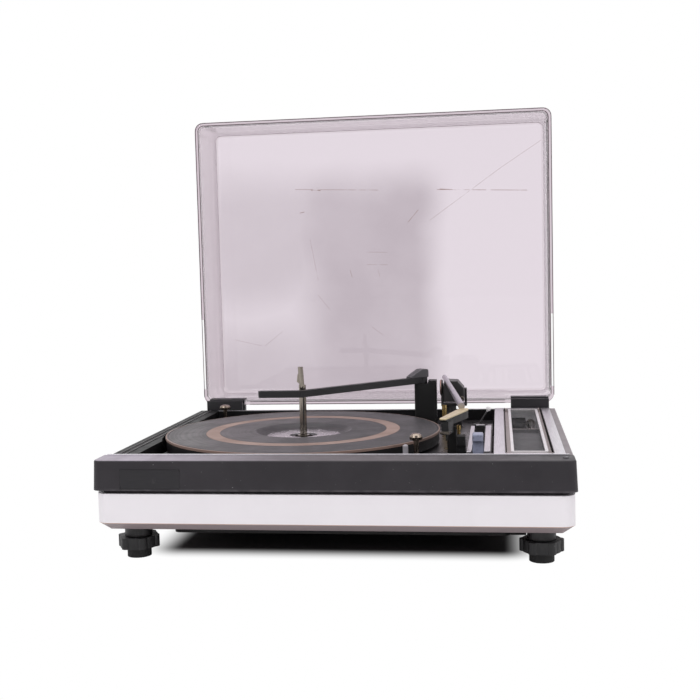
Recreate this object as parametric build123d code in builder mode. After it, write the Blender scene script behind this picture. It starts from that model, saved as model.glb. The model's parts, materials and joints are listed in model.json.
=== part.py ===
from build123d import *
import os
from math import atan2, cos, degrees, hypot, radians, sin

# Record changer on a plinth with its dust cover open. Millimetres, +Z up, front face toward -Y.
# Lengths written as "from the front" are measured back from the lower front edge of the upper band.

os.makedirs("parts", exist_ok=True)

# Plinth
plinth_width = 406.8
plinth_depth = 360.0
band_lean = 1.2
band_corner = 8.0
lower_inset = 2.0
lower_corner = 11.0
underside_height = 29.0
chamfer_height = 7.0
chamfer_inset = 9.8
lower_top = 61.5
shadow_gap = 3.0
rail_top = 90.4
rail_depth = 28.0
rail_round = 2.0
deck_height = 87.0
deck_thickness = 3.0
lower_wall = 4.5
lower_floor = 3.0
seat_wall = 8.0
seat_height = 54.0
neck_wall = 3.5
ledge_height = 80.0
ledge_depth = 22.0
deck_back = plinth_depth - ledge_depth

# Changer bay and platter
bay_left = 23.9 - plinth_width / 2
bay_right = plinth_width / 2 - 67.4
bay_front = rail_depth + 10
bay_back = deck_back - 8
bay_skirt_bottom = 72.0
platter_x = -50.5
platter_from_front = 171.0
platter_radius = 134.5
mat_top = 90.0
mat_thickness = 2.5
mat_overhang = 0.8
platter_skirt_height = 9.5
platter_skirt_wall = 3.5
platter_web = 2.5
dish_radius = 46.7
dish_depth = 3.5
ring_outer = 95.4
ring_inner = 82.0
ring_thickness = 0.8
hub_disc_radius = 36.2
hub_disc_thickness = 1.0
hub_hole_radius = 13.7
bearing_radius = 9.0
spindle_radius = 3.5
spindle_top = 152.5
spindle_shelf = 134.6
relief_gap = 3.5

# Unit plate and its springs
plate_top = 75.5
plate_thickness = 1.5
plate_gap = 1.5
post_radius = 7.0
mount_radius = 8.0
post_top = 60.0
mount_side = 18.0
mount_front = bay_front + 9
mount_rear = bay_back - 14
mount_points = [
    (bay_left + mount_side + 1.5, mount_front),
    (bay_right - mount_side, mount_front),
    (bay_left + mount_side + 21.5, mount_rear),
    (bay_right - mount_side, mount_rear),
]

# Accessory pocket
pocket_left = bay_right + 9.9
pocket_right = plinth_width / 2 - 16
pocket_front = rail_depth + 22
pocket_back = deck_back - 6
tray_floor_height = 70.0
tray_wall = 2.5
tray_split = 200.0
tray_panel_height = 82.0
tray_lid_left = pocket_left + 5.1
tray_lid_right = pocket_right - 4.8
tray_lid_front = pocket_front + 7
tray_lid_back = pocket_back - 6
tray_lid_bar = 2.6
tray_lid_height = 2.4
tray_pin_radius = 0.8
tray_ear_gap = 1.0
tray_ear = 2.4

# Dust cover, open
cover_width = plinth_width - 0.8
cover_rim_from_front = plinth_depth - 7
cover_foot_height = 91.5
cover_front_gap = 0.8
cover_rear_closed = plinth_depth - 3
cover_depth = 74.0
cover_wall = 3.0
cover_lip = 2.8
cover_lip_depth = 5.5
cover_draft = 1.6
cover_corner = 9.0
cover_round = 7.0
notch_low = 110.0
notch_high = 192.0

# Hinges
hinge_x = plinth_width / 2 - 28.0
hinge_width = 42.0
hinge_pin_radius = 1.3
hinge_knuckle_radius = 3.2
hinge_ear_radius = 3.4
hinge_ear = 6.0
leaf_thickness = 3.2

# Feet
foot_front = 35.0
foot_x = plinth_width / 2 - 28.4
foot_rear = plinth_depth - foot_front
foot_radius = 18.5
foot_lobe_radius = 4.4
foot_lobes = 6
foot_wheel_bottom = 8.5
foot_wheel_top = 18.5
foot_cup_radius = 10.5
foot_cup_top = 10.5
foot_stud_radius = 4.0
boss_radius = 12.0
boss_bottom = 19.0

# Overarm
tower_left = 52.4
tower_right = 75.6
tower_front = 266.0
tower_depth = 16.0
tower_notch = 67.0
tower_top = 127.0
arm_bottom = 124.0
arm_height = 6.6
arm_width = 7.0
rod_x = 60.5
rod_radius = 4.0
bend_x = -50.0
bend_from_front = 156.0
arm_tip = 38.0
arm_cap_top = 139.6

# Tonearm
pivot_x = 91.0
pivot_from_front = 272.0
pivot_height = 116.0
tube_rear = (83.1, 293.0, 128.0)
tube_front = (106.1, 150.0, 115.2)
tube_rear_radius = 2.6
tube_front_radius = 3.3
shell_rear = (107.0, 151.0)
shell_front = (92.8, 82.0)
shell_top = 113.0
shell_height = 8.5
shell_width = 11.0
shell_plate_thickness = 1.5
stylus_bottom = 92.0
rest_x = 98.4
rest_front = 104.0
rest_foot = 7.0

# Fits
running_fit = 0.05
seat_fit = 0.15
part_gap = 0.1

# Worked-out places
cover_height = cover_rear_closed - rail_depth - cover_front_gap
total_depth = cover_rim_from_front + cover_depth
front_y = -total_depth / 2
plinth_y = front_y + plinth_depth / 2
platter_y = front_y + platter_from_front
band_bottom = lower_top + shadow_gap
band_top_of_chamfer = underside_height + chamfer_height
hinge_from_front = (cover_rim_from_front - deck_height + cover_rear_closed + cover_foot_height) / 2
hinge_y = front_y + hinge_from_front
hinge_z = cover_rear_closed + cover_foot_height - hinge_from_front
cover_rim_y = front_y + cover_rim_from_front
cover_mid_z = cover_foot_height + cover_height / 2
platter_plate_top = mat_top - mat_thickness
platter_outer = platter_radius - mat_overhang
platter_inner = platter_outer - platter_skirt_wall
dish_top = platter_plate_top - dish_depth


def save(piece, name):
    piece.part.label = name
    export_step(piece.part, f"parts/{name}.step")
    return piece.part


def back(distance):
    """Y of a place measured back from the front."""
    return front_y + distance


def slab(left, right, front, rear, bottom, top, mode=Mode.ADD, corner=0.0):
    """Upright block between real edges, its front and rear measured from the front of the plinth."""
    with BuildSketch(Plane.XY.offset(bottom)) as outline:
        with Locations(((left + right) / 2, back((front + rear) / 2))):
            if corner:
                RectangleRounded(right - left, rear - front, corner)
            else:
                Rectangle(right - left, rear - front)
    extrude(outline.sketch, amount=top - bottom, mode=mode)


def drum(x, y, radius, bottom, top, mode=Mode.ADD):
    with BuildSketch(Plane.XY.offset(bottom)) as outline:
        with Locations((x, y)):
            Circle(radius)
    extrude(outline.sketch, amount=top - bottom, mode=mode)


def bar_x(left, right, y, z, radius, mode=Mode.ADD):
    """Round bar lying across the object."""
    with BuildSketch(Plane(origin=(left, y, z), x_dir=(0, 1, 0), z_dir=(1, 0, 0))) as outline:
        Circle(radius)
    extrude(outline.sketch, amount=right - left, mode=mode)


def plinth_ring(bottom, top, width, depth, corner, mode=Mode.ADD):
    with BuildSketch(Plane.XY.offset(bottom)) as outline:
        with Locations((0, plinth_y)):
            RectangleRounded(width, depth, corner)
    extrude(outline.sketch, amount=top - bottom, mode=mode)


lower_width = plinth_width - 2 * lower_inset
lower_depth = plinth_depth - 2 * lower_inset
pan_right = plinth_width / 2 - 53.4
pan_left = -pan_right
pan_front = 56.0
pan_rear = plinth_depth - pan_front
pan_bottom = 15.0
pan_wall = 1.5
socket_left = -60.0
socket_right = 60.0
socket_low = 38.0
socket_high = 58.0
socket_thickness = 1.5
gland_x = 120.0
gland_z = 48.0
gland_radius = 5.0
foot_places = {
    "front_left": (-foot_x, foot_front),
    "front_right": (foot_x, foot_front),
    "rear_left": (-foot_x, foot_rear),
    "rear_right": (foot_x, foot_rear),
}

# Lower shell with its chamfered underside, foot bosses and posts for the springs
with BuildPart() as plinth_shell:
    with BuildSketch(Plane.XY.offset(underside_height)):
        with Locations((0, plinth_y)):
            RectangleRounded(lower_width - 2 * chamfer_inset, lower_depth - 2 * chamfer_inset,
                             lower_corner - chamfer_inset)
    with BuildSketch(Plane.XY.offset(band_top_of_chamfer)):
        with Locations((0, plinth_y)):
            RectangleRounded(lower_width, lower_depth, lower_corner)
    loft(ruled=True)
    plinth_ring(band_top_of_chamfer, lower_top, lower_width, lower_depth, lower_corner)
    floor_top = underside_height + lower_floor
    cavity_inset = seat_wall + chamfer_inset
    plinth_ring(floor_top, seat_height, lower_width - 2 * cavity_inset,
                lower_depth - 2 * cavity_inset, 2.0, Mode.SUBTRACT)
    plinth_ring(band_top_of_chamfer + 2, seat_height, lower_width - 2 * seat_wall,
                lower_depth - 2 * seat_wall, 4.0, Mode.SUBTRACT)
    plinth_ring(seat_height, lower_top, lower_width - 2 * lower_wall,
                lower_depth - 2 * lower_wall, lower_corner - lower_wall, Mode.SUBTRACT)
    slab(pan_left - seat_fit, pan_right + seat_fit, pan_front - seat_fit, pan_rear + seat_fit,
         underside_height, floor_top, Mode.SUBTRACT)
    for x, distance in mount_points:
        drum(x, back(distance), post_radius, floor_top, post_top)
    for x, distance in foot_places.values():
        drum(x, back(distance), boss_radius, boss_bottom, floor_top + 8)
        drum(x, back(distance), foot_stud_radius + running_fit, boss_bottom, floor_top + 6, Mode.SUBTRACT)
    slab(socket_left - seat_fit, socket_right + seat_fit, plinth_depth - lower_inset - socket_thickness,
         plinth_depth, socket_low - seat_fit, socket_high + seat_fit, Mode.SUBTRACT)
    with BuildSketch(Plane(origin=(gland_x, back(plinth_depth - 12), gland_z),
                           x_dir=(1, 0, 0), z_dir=(0, 1, 0))):
        Circle(gland_radius + part_gap)
    extrude(amount=14, mode=Mode.SUBTRACT)
save(plinth_shell, "plinth_shell")

# Pan that closes the underside and gives the motor its depth
with BuildPart() as bottom_cover:
    slab(pan_left, pan_right, pan_front, pan_rear, pan_bottom, floor_top, corner=6.0)
    slab(pan_left + pan_wall, pan_right - pan_wall, pan_front + pan_wall, pan_rear - pan_wall,
         pan_bottom + pan_wall, floor_top, Mode.SUBTRACT, 4.5)
save(bottom_cover, "bottom_cover")

# Upper band with its flat front rail, deck, bay for the changer and accessory pocket
badge_left = 25.8 - plinth_width / 2
badge_right = badge_left + 52.2
badge_low = 66.0
badge_high = 82.5
badge_depth = 1.5
with BuildPart() as top_frame:
    with BuildSketch(Plane.XY.offset(band_bottom)):
        with Locations((0, plinth_y)):
            RectangleRounded(plinth_width, plinth_depth, band_corner)
    with BuildSketch(Plane.XY.offset(rail_top)):
        with Locations((0, plinth_y)):
            RectangleRounded(plinth_width - 2 * band_lean, plinth_depth - 2 * band_lean,
                             band_corner - band_lean)
    loft(ruled=True)
    slab(-plinth_width, plinth_width, rail_depth, plinth_depth + 1, deck_height, rail_top + 1, Mode.SUBTRACT)
    slab(-plinth_width, plinth_width, deck_back, plinth_depth + 1, ledge_height, rail_top + 1, Mode.SUBTRACT)
    fillet(top_frame.edges().group_by(Axis.Z)[-1].sort_by(Axis.Y)[0:1], rail_round)
    neck_width = lower_width - 2 * lower_wall - 2 * seat_fit
    neck_depth = lower_depth - 2 * lower_wall - 2 * seat_fit
    plinth_ring(seat_height, band_bottom, neck_width, neck_depth, lower_corner - lower_wall)
    hollow_width = neck_width - 2 * neck_wall
    hollow_depth = neck_depth - 2 * neck_wall
    hollow_corner = 2.0
    plinth_ring(seat_height, bay_skirt_bottom, hollow_width, hollow_depth, hollow_corner, Mode.SUBTRACT)
    with BuildSketch(Plane.XY.offset(bay_skirt_bottom)):
        with Locations((0, plinth_y - (plinth_depth - deck_back) / 2)):
            Rectangle(hollow_width, hollow_depth - (plinth_depth - deck_back))
        with Locations(((bay_left + bay_right) / 2, back((bay_front + bay_back) / 2))):
            Rectangle(bay_right - bay_left + 2 * deck_thickness,
                      bay_back - bay_front + 2 * deck_thickness, mode=Mode.SUBTRACT)
        with Locations((platter_x, platter_y)):
            Circle(platter_radius + relief_gap + deck_thickness, mode=Mode.SUBTRACT)
        with Locations(((pocket_left + pocket_right) / 2, back((pocket_front + pocket_back) / 2))):
            Rectangle(pocket_right - pocket_left + 2 * deck_thickness,
                      pocket_back - pocket_front + 2 * deck_thickness, mode=Mode.SUBTRACT)
    extrude(amount=deck_height - deck_thickness - bay_skirt_bottom, mode=Mode.SUBTRACT)
    slab(bay_left, bay_right, bay_front, bay_back, seat_height, rail_top, Mode.SUBTRACT, 3.0)
    drum(platter_x, platter_y, platter_radius + relief_gap, seat_height, deck_height + 1, Mode.SUBTRACT)
    slab(pocket_left, pocket_right, pocket_front, pocket_back, seat_height, rail_top, Mode.SUBTRACT, 2.0)
    slab(badge_left - part_gap, badge_right + part_gap, -1, badge_depth + 0.3,
         badge_low - part_gap, badge_high + part_gap, Mode.SUBTRACT)
save(top_frame, "top_frame")

# Bare plate where a name would be
with BuildPart() as badge_plate:
    slab(badge_left, badge_right, 0.4, badge_depth + 0.2, badge_low, badge_high)
    fillet(badge_plate.edges().filter_by(Axis.Y), 1.2)
save(badge_plate, "badge_plate")

# Aluminium bead along the back of the front rail
bead_width = 1.6
bead_height = 1.0
bead_end = plinth_width / 2 - 5.4
with BuildPart() as rail_trim:
    slab(-bead_end, bead_end, rail_depth - bead_width, rail_depth - part_gap,
         rail_top, rail_top + bead_height)
    fillet(rail_trim.edges().group_by(Axis.Z)[-1].filter_by(Axis.X), 0.4)
save(rail_trim, "rail_trim")

# Aluminium trim: strips each side of the pocket and the line behind the bay
trim_right = cover_width / 2 - cover_lip - cover_wall - 0.8
trim_thickness = 0.8
trim_front = rail_depth + 10
with BuildPart() as deck_trim:
    slab(bay_right + 0.4, trim_right, trim_front, deck_back - 1, deck_height, deck_height + trim_thickness,
         corner=2.0)
    slab(bay_left, bay_right + 3, bay_back + 0.3, bay_back + 3.3, deck_height, deck_height + trim_thickness)
    slab(pocket_left, pocket_right, pocket_front, pocket_back, deck_height,
         deck_height + trim_thickness, Mode.SUBTRACT, 2.0)
save(deck_trim, "deck_trim")

# Steel plate that carries the changer, floating in the bay on four springs
screw_rear = (bay_left + 10.8, bay_back - 12)
screw_front = (68.8, 70.0)
screw_shaft_radius = 2.8
pivot_y = back(pivot_from_front)
turret_radius = 8.0
idler_radius = 22.0
pulley_radius = 6.0
rim_gap = 0.3
idler_angle = 75.0
pulley_angle = 185.0
idler_reach = platter_inner - idler_radius - rim_gap
idler_x = platter_x + idler_reach * cos(radians(idler_angle))
idler_y = platter_y + idler_reach * sin(radians(idler_angle))
pulley_reach = idler_radius + pulley_radius + rim_gap
pulley_x = idler_x + pulley_reach * cos(radians(pulley_angle))
pulley_y = idler_y + pulley_reach * sin(radians(pulley_angle))
gear_stud_radius = 3.0
gear_radius = 38.0
gear_tooth = 2.0
gear_teeth = 60
gear_angle = 250.0
hub_tube_radius = 12.0
gear_reach = hub_tube_radius + gear_radius + gear_tooth + 2
gear_x = platter_x + gear_reach * cos(radians(gear_angle))
gear_y = platter_y + gear_reach * sin(radians(gear_angle))
with BuildPart() as unit_plate:
    slab(bay_left + plate_gap, bay_right - plate_gap, bay_front + plate_gap, bay_back - plate_gap,
         plate_top - plate_thickness, plate_top, corner=4.0)
    drum(platter_x, platter_y, bearing_radius + part_gap, 70, 80, Mode.SUBTRACT)
    drum(pulley_x, pulley_y, 4.0, 70, 80, Mode.SUBTRACT)
    for x, distance in (screw_rear, screw_front):
        drum(x, back(distance), screw_shaft_radius + part_gap, 70, 80, Mode.SUBTRACT)
    drum(gear_x, gear_y, gear_stud_radius, plate_top, 80)
    drum(gear_x, gear_y, 2 * gear_stud_radius, plate_top, 76.3)
save(unit_plate, "unit_plate")

with BuildPart() as suspension_mounts:
    for x, distance in mount_points:
        drum(x, back(distance), mount_radius, post_top, plate_top - plate_thickness)
        drum(x, back(distance), mount_radius - 2.5, post_top, plate_top - plate_thickness, Mode.SUBTRACT)
save(suspension_mounts, "suspension_mounts")

# Transit screws: tall knurled heads on plain shafts
screw_heads = ((screw_rear, 91.3, 96.4, 6.2), (screw_front, 96.4, 102.4, 5.7))
with BuildPart() as transit_screws:
    for (x, distance), head_bottom, head_top, head_radius in screw_heads:
        drum(x, back(distance), screw_shaft_radius, plate_top - 14, head_bottom)
        drum(x, back(distance), head_radius, head_bottom, head_top)
    fillet(transit_screws.edges().filter_by(GeomType.CIRCLE).filter_by(
        lambda edge: edge.radius > 5 and edge.center().Z in (96.4, 102.4)), 1.2)
save(transit_screws, "transit_screws")

size_pin_place = (60.2, 60.0)
size_pin_radius = 2.4
size_pin_top = 93.7
with BuildPart() as size_pin:
    drum(size_pin_place[0], back(size_pin_place[1]), size_pin_radius, plate_top, size_pin_top)
    fillet(size_pin.edges().group_by(Axis.Z)[-1], 1.6)
save(size_pin, "size_pin")

# Motor, its pulley and the idler that drives the platter rim from inside
motor_width = 64.0
motor_depth = 48.0
motor_bottom = 42.0
shaft_radius = 2.5
with BuildPart() as motor_body:
    with BuildSketch(Plane.XY.offset(motor_bottom)):
        with Locations((pulley_x, pulley_y)):
            RectangleRounded(motor_width, motor_depth, 5)
    extrude(amount=plate_top - plate_thickness - part_gap - motor_bottom)
    drum(pulley_x, pulley_y, shaft_radius + running_fit, motor_bottom + 6, plate_top, Mode.SUBTRACT)
save(motor_body, "motor_body")

with BuildPart() as motor_pulley:
    drum(pulley_x, pulley_y, shaft_radius, motor_bottom + 6.5, 78)
    drum(pulley_x, pulley_y, pulley_radius, 78, 84)
save(motor_pulley, "motor_pulley")

idler_pin_radius = 2.0
with BuildPart() as idler_arm:
    slab(idler_x - 5, idler_x + 5, idler_y - front_y - 30, idler_y - front_y + 5, plate_top, plate_top + 1.5)
    drum(idler_x, idler_y, idler_pin_radius, plate_top, 83.5)
save(idler_arm, "idler_arm")

with BuildPart() as idler_wheel:
    drum(idler_x, idler_y, idler_radius, 79, 83)
    drum(idler_x, idler_y, 5, 77.5, 79)
    drum(idler_x, idler_y, idler_pin_radius + running_fit, 77, 84, Mode.SUBTRACT)
save(idler_wheel, "idler_wheel")

# Cycle gear below the platter, its missing teeth toward the hub until a record ends
with BuildPart() as cam_gear:
    drum(gear_x, gear_y, gear_radius, 76.5, 79.5)
    with BuildSketch(Plane.XY.offset(76.5)):
        for tooth in range(gear_teeth):
            turn = gear_angle + 180 + (tooth + 0.5) * 360 / gear_teeth
            if 3 <= tooth < gear_teeth - 3:
                reach = gear_radius + gear_tooth / 2 - 0.5
                with Locations(Location((gear_x + reach * cos(radians(turn)),
                                         gear_y + reach * sin(radians(turn)), 0), (0, 0, turn))):
                    Rectangle(gear_tooth + 1, 2.0)
    extrude(amount=3)
    drum(gear_x, gear_y, gear_stud_radius + running_fit, 76, 80, Mode.SUBTRACT)
save(cam_gear, "cam_gear")

# Bearing sleeve, platter, mat and hub trim
bearing_top = 82.0
with BuildPart() as bearing_post:
    drum(platter_x, platter_y, bearing_radius, 58, bearing_top)
    drum(platter_x, platter_y, bearing_radius + 5, 68, plate_top - plate_thickness)
    drum(platter_x, platter_y, spindle_radius + part_gap, 57, 90, Mode.SUBTRACT)
save(bearing_post, "bearing_post")

with BuildPart() as platter:
    with BuildSketch(Plane(origin=(platter_x, platter_y, 0), x_dir=(1, 0, 0), z_dir=(0, -1, 0))):
        with BuildLine():
            skirt_bottom = platter_plate_top - platter_skirt_height
            web_bottom = platter_plate_top - platter_web
            dish_bottom = dish_top - platter_web
            bore = bearing_radius + running_fit
            Polyline((bore, dish_top), (dish_radius - dish_depth, dish_top),
                     (dish_radius, platter_plate_top), (platter_outer, platter_plate_top),
                     (platter_outer, skirt_bottom), (platter_inner, skirt_bottom),
                     (platter_inner, web_bottom), (dish_radius, web_bottom),
                     (dish_radius - dish_depth, dish_bottom), (hub_tube_radius, dish_bottom),
                     (hub_tube_radius, 77), (bore, 77), close=True)
        make_face()
    revolve(axis=Axis((platter_x, platter_y, 0), (0, 0, 1)))
save(platter, "platter")

rib_pitch = 1.6
rib_margin = 4.0
rib_count = int((platter_radius - ring_outer - rib_margin) / rib_pitch)
rib_depth = 0.35
with BuildPart() as platter_mat:
    drum(platter_x, platter_y, platter_radius, platter_plate_top, mat_top)
    drum(platter_x, platter_y, dish_radius + 1, platter_plate_top, mat_top, Mode.SUBTRACT)
    with BuildSketch(Plane.XY.offset(mat_top - ring_thickness)):
        with Locations((platter_x, platter_y)):
            Circle(ring_outer)
            Circle(ring_inner, mode=Mode.SUBTRACT)
    extrude(amount=ring_thickness, mode=Mode.SUBTRACT)
    with BuildSketch(Plane.XY.offset(mat_top - rib_depth)):
        with Locations((platter_x, platter_y)):
            for rib in range(rib_count):
                Circle(ring_outer + rib_margin + (rib + 0.5) * rib_pitch)
                Circle(ring_outer + rib_margin + rib * rib_pitch, mode=Mode.SUBTRACT)
    extrude(amount=rib_depth, mode=Mode.SUBTRACT)
save(platter_mat, "platter_mat")

with BuildPart() as mat_ring:
    with BuildSketch(Plane.XY.offset(mat_top - ring_thickness)):
        with Locations((platter_x, platter_y)):
            Circle(ring_outer)
            Circle(ring_inner, mode=Mode.SUBTRACT)
    extrude(amount=ring_thickness)
save(mat_ring, "mat_ring")

with BuildPart() as hub_disc:
    drum(platter_x, platter_y, hub_disc_radius, dish_top, dish_top + hub_disc_thickness)
    drum(platter_x, platter_y, hub_hole_radius, dish_top, dish_top + 2, Mode.SUBTRACT)
    fillet(hub_disc.edges().group_by(Axis.Z)[-1], 0.3)
save(hub_disc, "hub_disc")

# Automatic spindle: shaft, offset shelf that holds the stack, narrow leaning top with its pusher
with BuildPart() as auto_spindle:
    drum(platter_x, platter_y, spindle_radius, 60, spindle_shelf)
    drum(platter_x, platter_y, spindle_radius + 2.5, bearing_top + part_gap, bearing_top + 3)
    neck_radius = 2.6
    neck_lean = 1.0
    with BuildSketch(Plane.XY.offset(spindle_shelf)):
        with Locations((platter_x - neck_lean / 2, platter_y)):
            Circle(neck_radius)
    with BuildSketch(Plane.XY.offset(spindle_top)):
        with Locations((platter_x - neck_lean * 1.5, platter_y)):
            Circle(neck_radius)
    loft()
    with BuildSketch(Plane(origin=(0, platter_y - 1, 0), x_dir=(1, 0, 0), z_dir=(0, -1, 0))):
        with BuildLine():
            pusher_low = spindle_shelf + 1
            pusher_x = platter_x - neck_radius
            Polyline((pusher_x, pusher_low), (pusher_x - 2.6, pusher_low + 2),
                     (pusher_x - 1.8, pusher_low + 9), (pusher_x, pusher_low + 12), close=True)
        make_face()
    extrude(amount=-2)
save(auto_spindle, "auto_spindle")

# Overarm tower with a raised right side, and the arm that steadies the stack
tower_rear = tower_front + tower_depth
rod_y = back(tower_front + tower_depth / 2)
with BuildPart() as overarm_tower:
    slab(tower_left, tower_right, tower_front, tower_rear, plate_top, arm_bottom - 0.4, corner=2.0)
    slab(tower_notch, tower_right, tower_front, tower_rear, arm_bottom - 2, tower_top, corner=2.0)
    drum(rod_x, rod_y, rod_radius + running_fit, plate_top + 8, tower_top + 1, Mode.SUBTRACT)
save(overarm_tower, "overarm_tower")

with BuildPart() as overarm_rod:
    drum(rod_x, rod_y, rod_radius, plate_top + 9, arm_bottom - 0.1)
    drum(rod_x, rod_y, rod_radius - 1, arm_bottom - 0.1, arm_bottom + arm_height)
save(overarm_rod, "overarm_rod")

arm_turn = degrees(atan2(back(bend_from_front) - rod_y, bend_x - rod_x))
with BuildPart() as overarm:
    with BuildSketch(Plane.XY.offset(arm_bottom)):
        with BuildLine():
            Line((rod_x, rod_y), (bend_x, back(bend_from_front)))
            Line((bend_x, back(bend_from_front)), (bend_x - arm_tip, back(bend_from_front)))
            offset(amount=arm_width / 2, side=Side.BOTH)
        make_face()
        with Locations((rod_x, rod_y)):
            Circle(5.4)
    extrude(amount=arm_height)
    drum(rod_x, rod_y, rod_radius - 1 + running_fit, arm_bottom, arm_bottom + arm_height, Mode.SUBTRACT)
save(overarm, "overarm")

with BuildPart() as overarm_cap:
    drum(rod_x, rod_y, 5.8, arm_bottom + arm_height, arm_cap_top)
    with BuildSketch(Plane.XY.offset(arm_bottom + arm_height)):
        with Locations(Location((rod_x, rod_y, 0), (0, 0, arm_turn))):
            with Locations((7.5, 0)):
                Rectangle(15, arm_width)
    extrude(amount=3)
    fillet(overarm_cap.edges().group_by(Axis.Z)[-1], 3.0)
save(overarm_cap, "overarm_cap")

# Tonearm: fixed base, turning turret with two cheeks, and the lifting arm
cheek_left = 80.5
cheek_thickness = 2.5
cheek_right = 108.6
yoke_bottom = 100.0
yoke_top = 103.0
yoke_half_depth = 6.0
cheek_top = 124.0
pivot_pin_radius = 1.5
with BuildPart() as tonearm_base:
    drum(pivot_x, pivot_y, 11, plate_top, 84)
    drum(pivot_x, pivot_y, 4 + running_fit, plate_top, 84, Mode.SUBTRACT)
save(tonearm_base, "tonearm_base")

with BuildPart() as tonearm_turret:
    drum(pivot_x, pivot_y, 4, plate_top + 1, 84.3)
    drum(pivot_x, pivot_y, turret_radius, 84.3, yoke_bottom)
    slab(cheek_left, cheek_right + cheek_thickness, pivot_from_front - yoke_half_depth,
         pivot_from_front + yoke_half_depth, yoke_bottom, yoke_top)
    for cheek in (cheek_left, cheek_right):
        slab(cheek, cheek + cheek_thickness, pivot_from_front - yoke_half_depth,
             pivot_from_front + yoke_half_depth, yoke_top, pivot_height)
        bar_x(cheek, cheek + cheek_thickness, pivot_y, pivot_height, yoke_half_depth)
    bar_x(cheek_left, cheek_left + cheek_thickness + 3, pivot_y, pivot_height, pivot_pin_radius)
    bar_x(cheek_right - 3, cheek_right, pivot_y, pivot_height, pivot_pin_radius)
save(tonearm_turret, "tonearm_turret")


def along_tube(amount):
    """Point on the tonearm's centre line, from its rear end to its front end."""
    rear = Vector(tube_rear[0], back(tube_rear[1]), tube_rear[2])
    front = Vector(tube_front[0], back(tube_front[1]), tube_front[2])
    return rear + (front - rear) * amount


tube_direction = (along_tube(1) - along_tube(0)).normalized()
with BuildPart() as tonearm_tube:
    with BuildSketch(Plane(origin=along_tube(0), z_dir=tube_direction)):
        Circle(tube_rear_radius)
    with BuildSketch(Plane(origin=along_tube(1), z_dir=tube_direction)):
        Circle(tube_front_radius)
    loft()
save(tonearm_tube, "tonearm_tube")

block_left = cheek_left + cheek_thickness + 0.4
block_right = cheek_right - 0.4
block_front = 261.0
block_rear = 285.0
block_bottom = 104.6
block_top = 126.0
with BuildPart() as counterweight:
    slab(block_left, block_right, block_front, block_rear, block_bottom, block_top)
    chamfer(counterweight.edges().filter_by(Axis.Y).group_by(Axis.Z)[-1].sort_by(Axis.X)[-1:], 6.0)
    fillet(counterweight.edges().filter_by(Axis.Z), 2.5)
    bar_x(block_left, block_left + 3, pivot_y, pivot_height, pivot_pin_radius + running_fit, Mode.SUBTRACT)
    bar_x(block_right - 3, block_right, pivot_y, pivot_height, pivot_pin_radius + running_fit, Mode.SUBTRACT)
    add(tonearm_tube.part, mode=Mode.SUBTRACT)
save(counterweight, "counterweight")

with BuildPart() as counterweight_screw:
    with BuildSketch(Plane(origin=(103.0, back(block_front), 109.0), x_dir=(1, 0, 0), z_dir=(0, -1, 0))):
        Circle(2.0)
    extrude(amount=1.4)
    fillet(counterweight_screw.edges().sort_by(Axis.Y)[0], 0.4)
save(counterweight_screw, "counterweight_screw")

shell_run = hypot(shell_rear[0] - shell_front[0], shell_rear[1] - shell_front[1])
shell_turn = degrees(atan2(shell_front[1] - shell_rear[1], shell_front[0] - shell_rear[0]))
shell_mid = ((shell_rear[0] + shell_front[0]) / 2, back((shell_rear[1] + shell_front[1]) / 2))


def shell_plane(height):
    """Plane lying along the headshell: local X runs to the front end."""
    return Plane(origin=(shell_mid[0], shell_mid[1], height),
                 x_dir=(cos(radians(shell_turn)), sin(radians(shell_turn)), 0), z_dir=(0, 0, 1))


shell_body_top = shell_top - shell_plate_thickness
shell_bottom = shell_body_top - shell_height
shell_wall = 1.5
with BuildPart() as headshell:
    with BuildSketch(shell_plane(shell_bottom)):
        RectangleRounded(shell_run, shell_width - 1, 3)
    extrude(amount=shell_height)
    with BuildSketch(shell_plane(shell_bottom)):
        with Locations((10, 0)):
            Rectangle(shell_run - 26, shell_width - 1 - 2 * shell_wall)
    extrude(amount=shell_height - shell_wall, mode=Mode.SUBTRACT)
    add(tonearm_tube.part, mode=Mode.SUBTRACT)
save(headshell, "headshell")

with BuildPart() as headshell_plate:
    with BuildSketch(shell_plane(shell_body_top)):
        RectangleRounded(shell_run, shell_width, 2.5)
    extrude(amount=shell_plate_thickness)
    add(tonearm_tube.part, mode=Mode.SUBTRACT)
save(headshell_plate, "headshell_plate")

cartridge_length = 18.0
cartridge_bottom = 98.0
cartridge_centre = shell_run / 2 - 12
with BuildPart() as cartridge:
    with BuildSketch(shell_plane(cartridge_bottom)):
        with Locations((cartridge_centre, 0)):
            Rectangle(cartridge_length, 6.6)
    extrude(amount=shell_body_top - shell_wall - cartridge_bottom - part_gap)
    with BuildSketch(shell_plane(stylus_bottom)):
        with Locations((cartridge_centre + 5, 0)):
            Circle(0.5)
    with BuildSketch(shell_plane(cartridge_bottom)):
        with Locations((cartridge_centre + 2, 0)):
            Circle(1.6)
    loft()
save(cartridge, "cartridge")

with BuildPart() as cartridge_clip:
    with BuildSketch(shell_plane(cartridge_bottom + 0.6)):
        with Locations((cartridge_centre + cartridge_length / 2 + 0.8, 0)):
            Rectangle(1.2, 8.4)
        with Locations((cartridge_centre + cartridge_length / 2 - 2, 3.8)):
            Rectangle(6.8, 0.8)
        with Locations((cartridge_centre + cartridge_length / 2 - 2, -3.8)):
            Rectangle(6.8, 0.8)
    extrude(amount=2.6)
save(cartridge_clip, "cartridge_clip")

with BuildPart() as arm_rest:
    slab(rest_x - 4, rest_x + 4, rest_front, rest_front + 2.5, plate_top, shell_bottom - 0.3)
    slab(rest_x - rest_foot, rest_x + rest_foot, rest_front - 3, rest_front + 6, plate_top, plate_top + 2.5)
save(arm_rest, "arm_rest")

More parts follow.
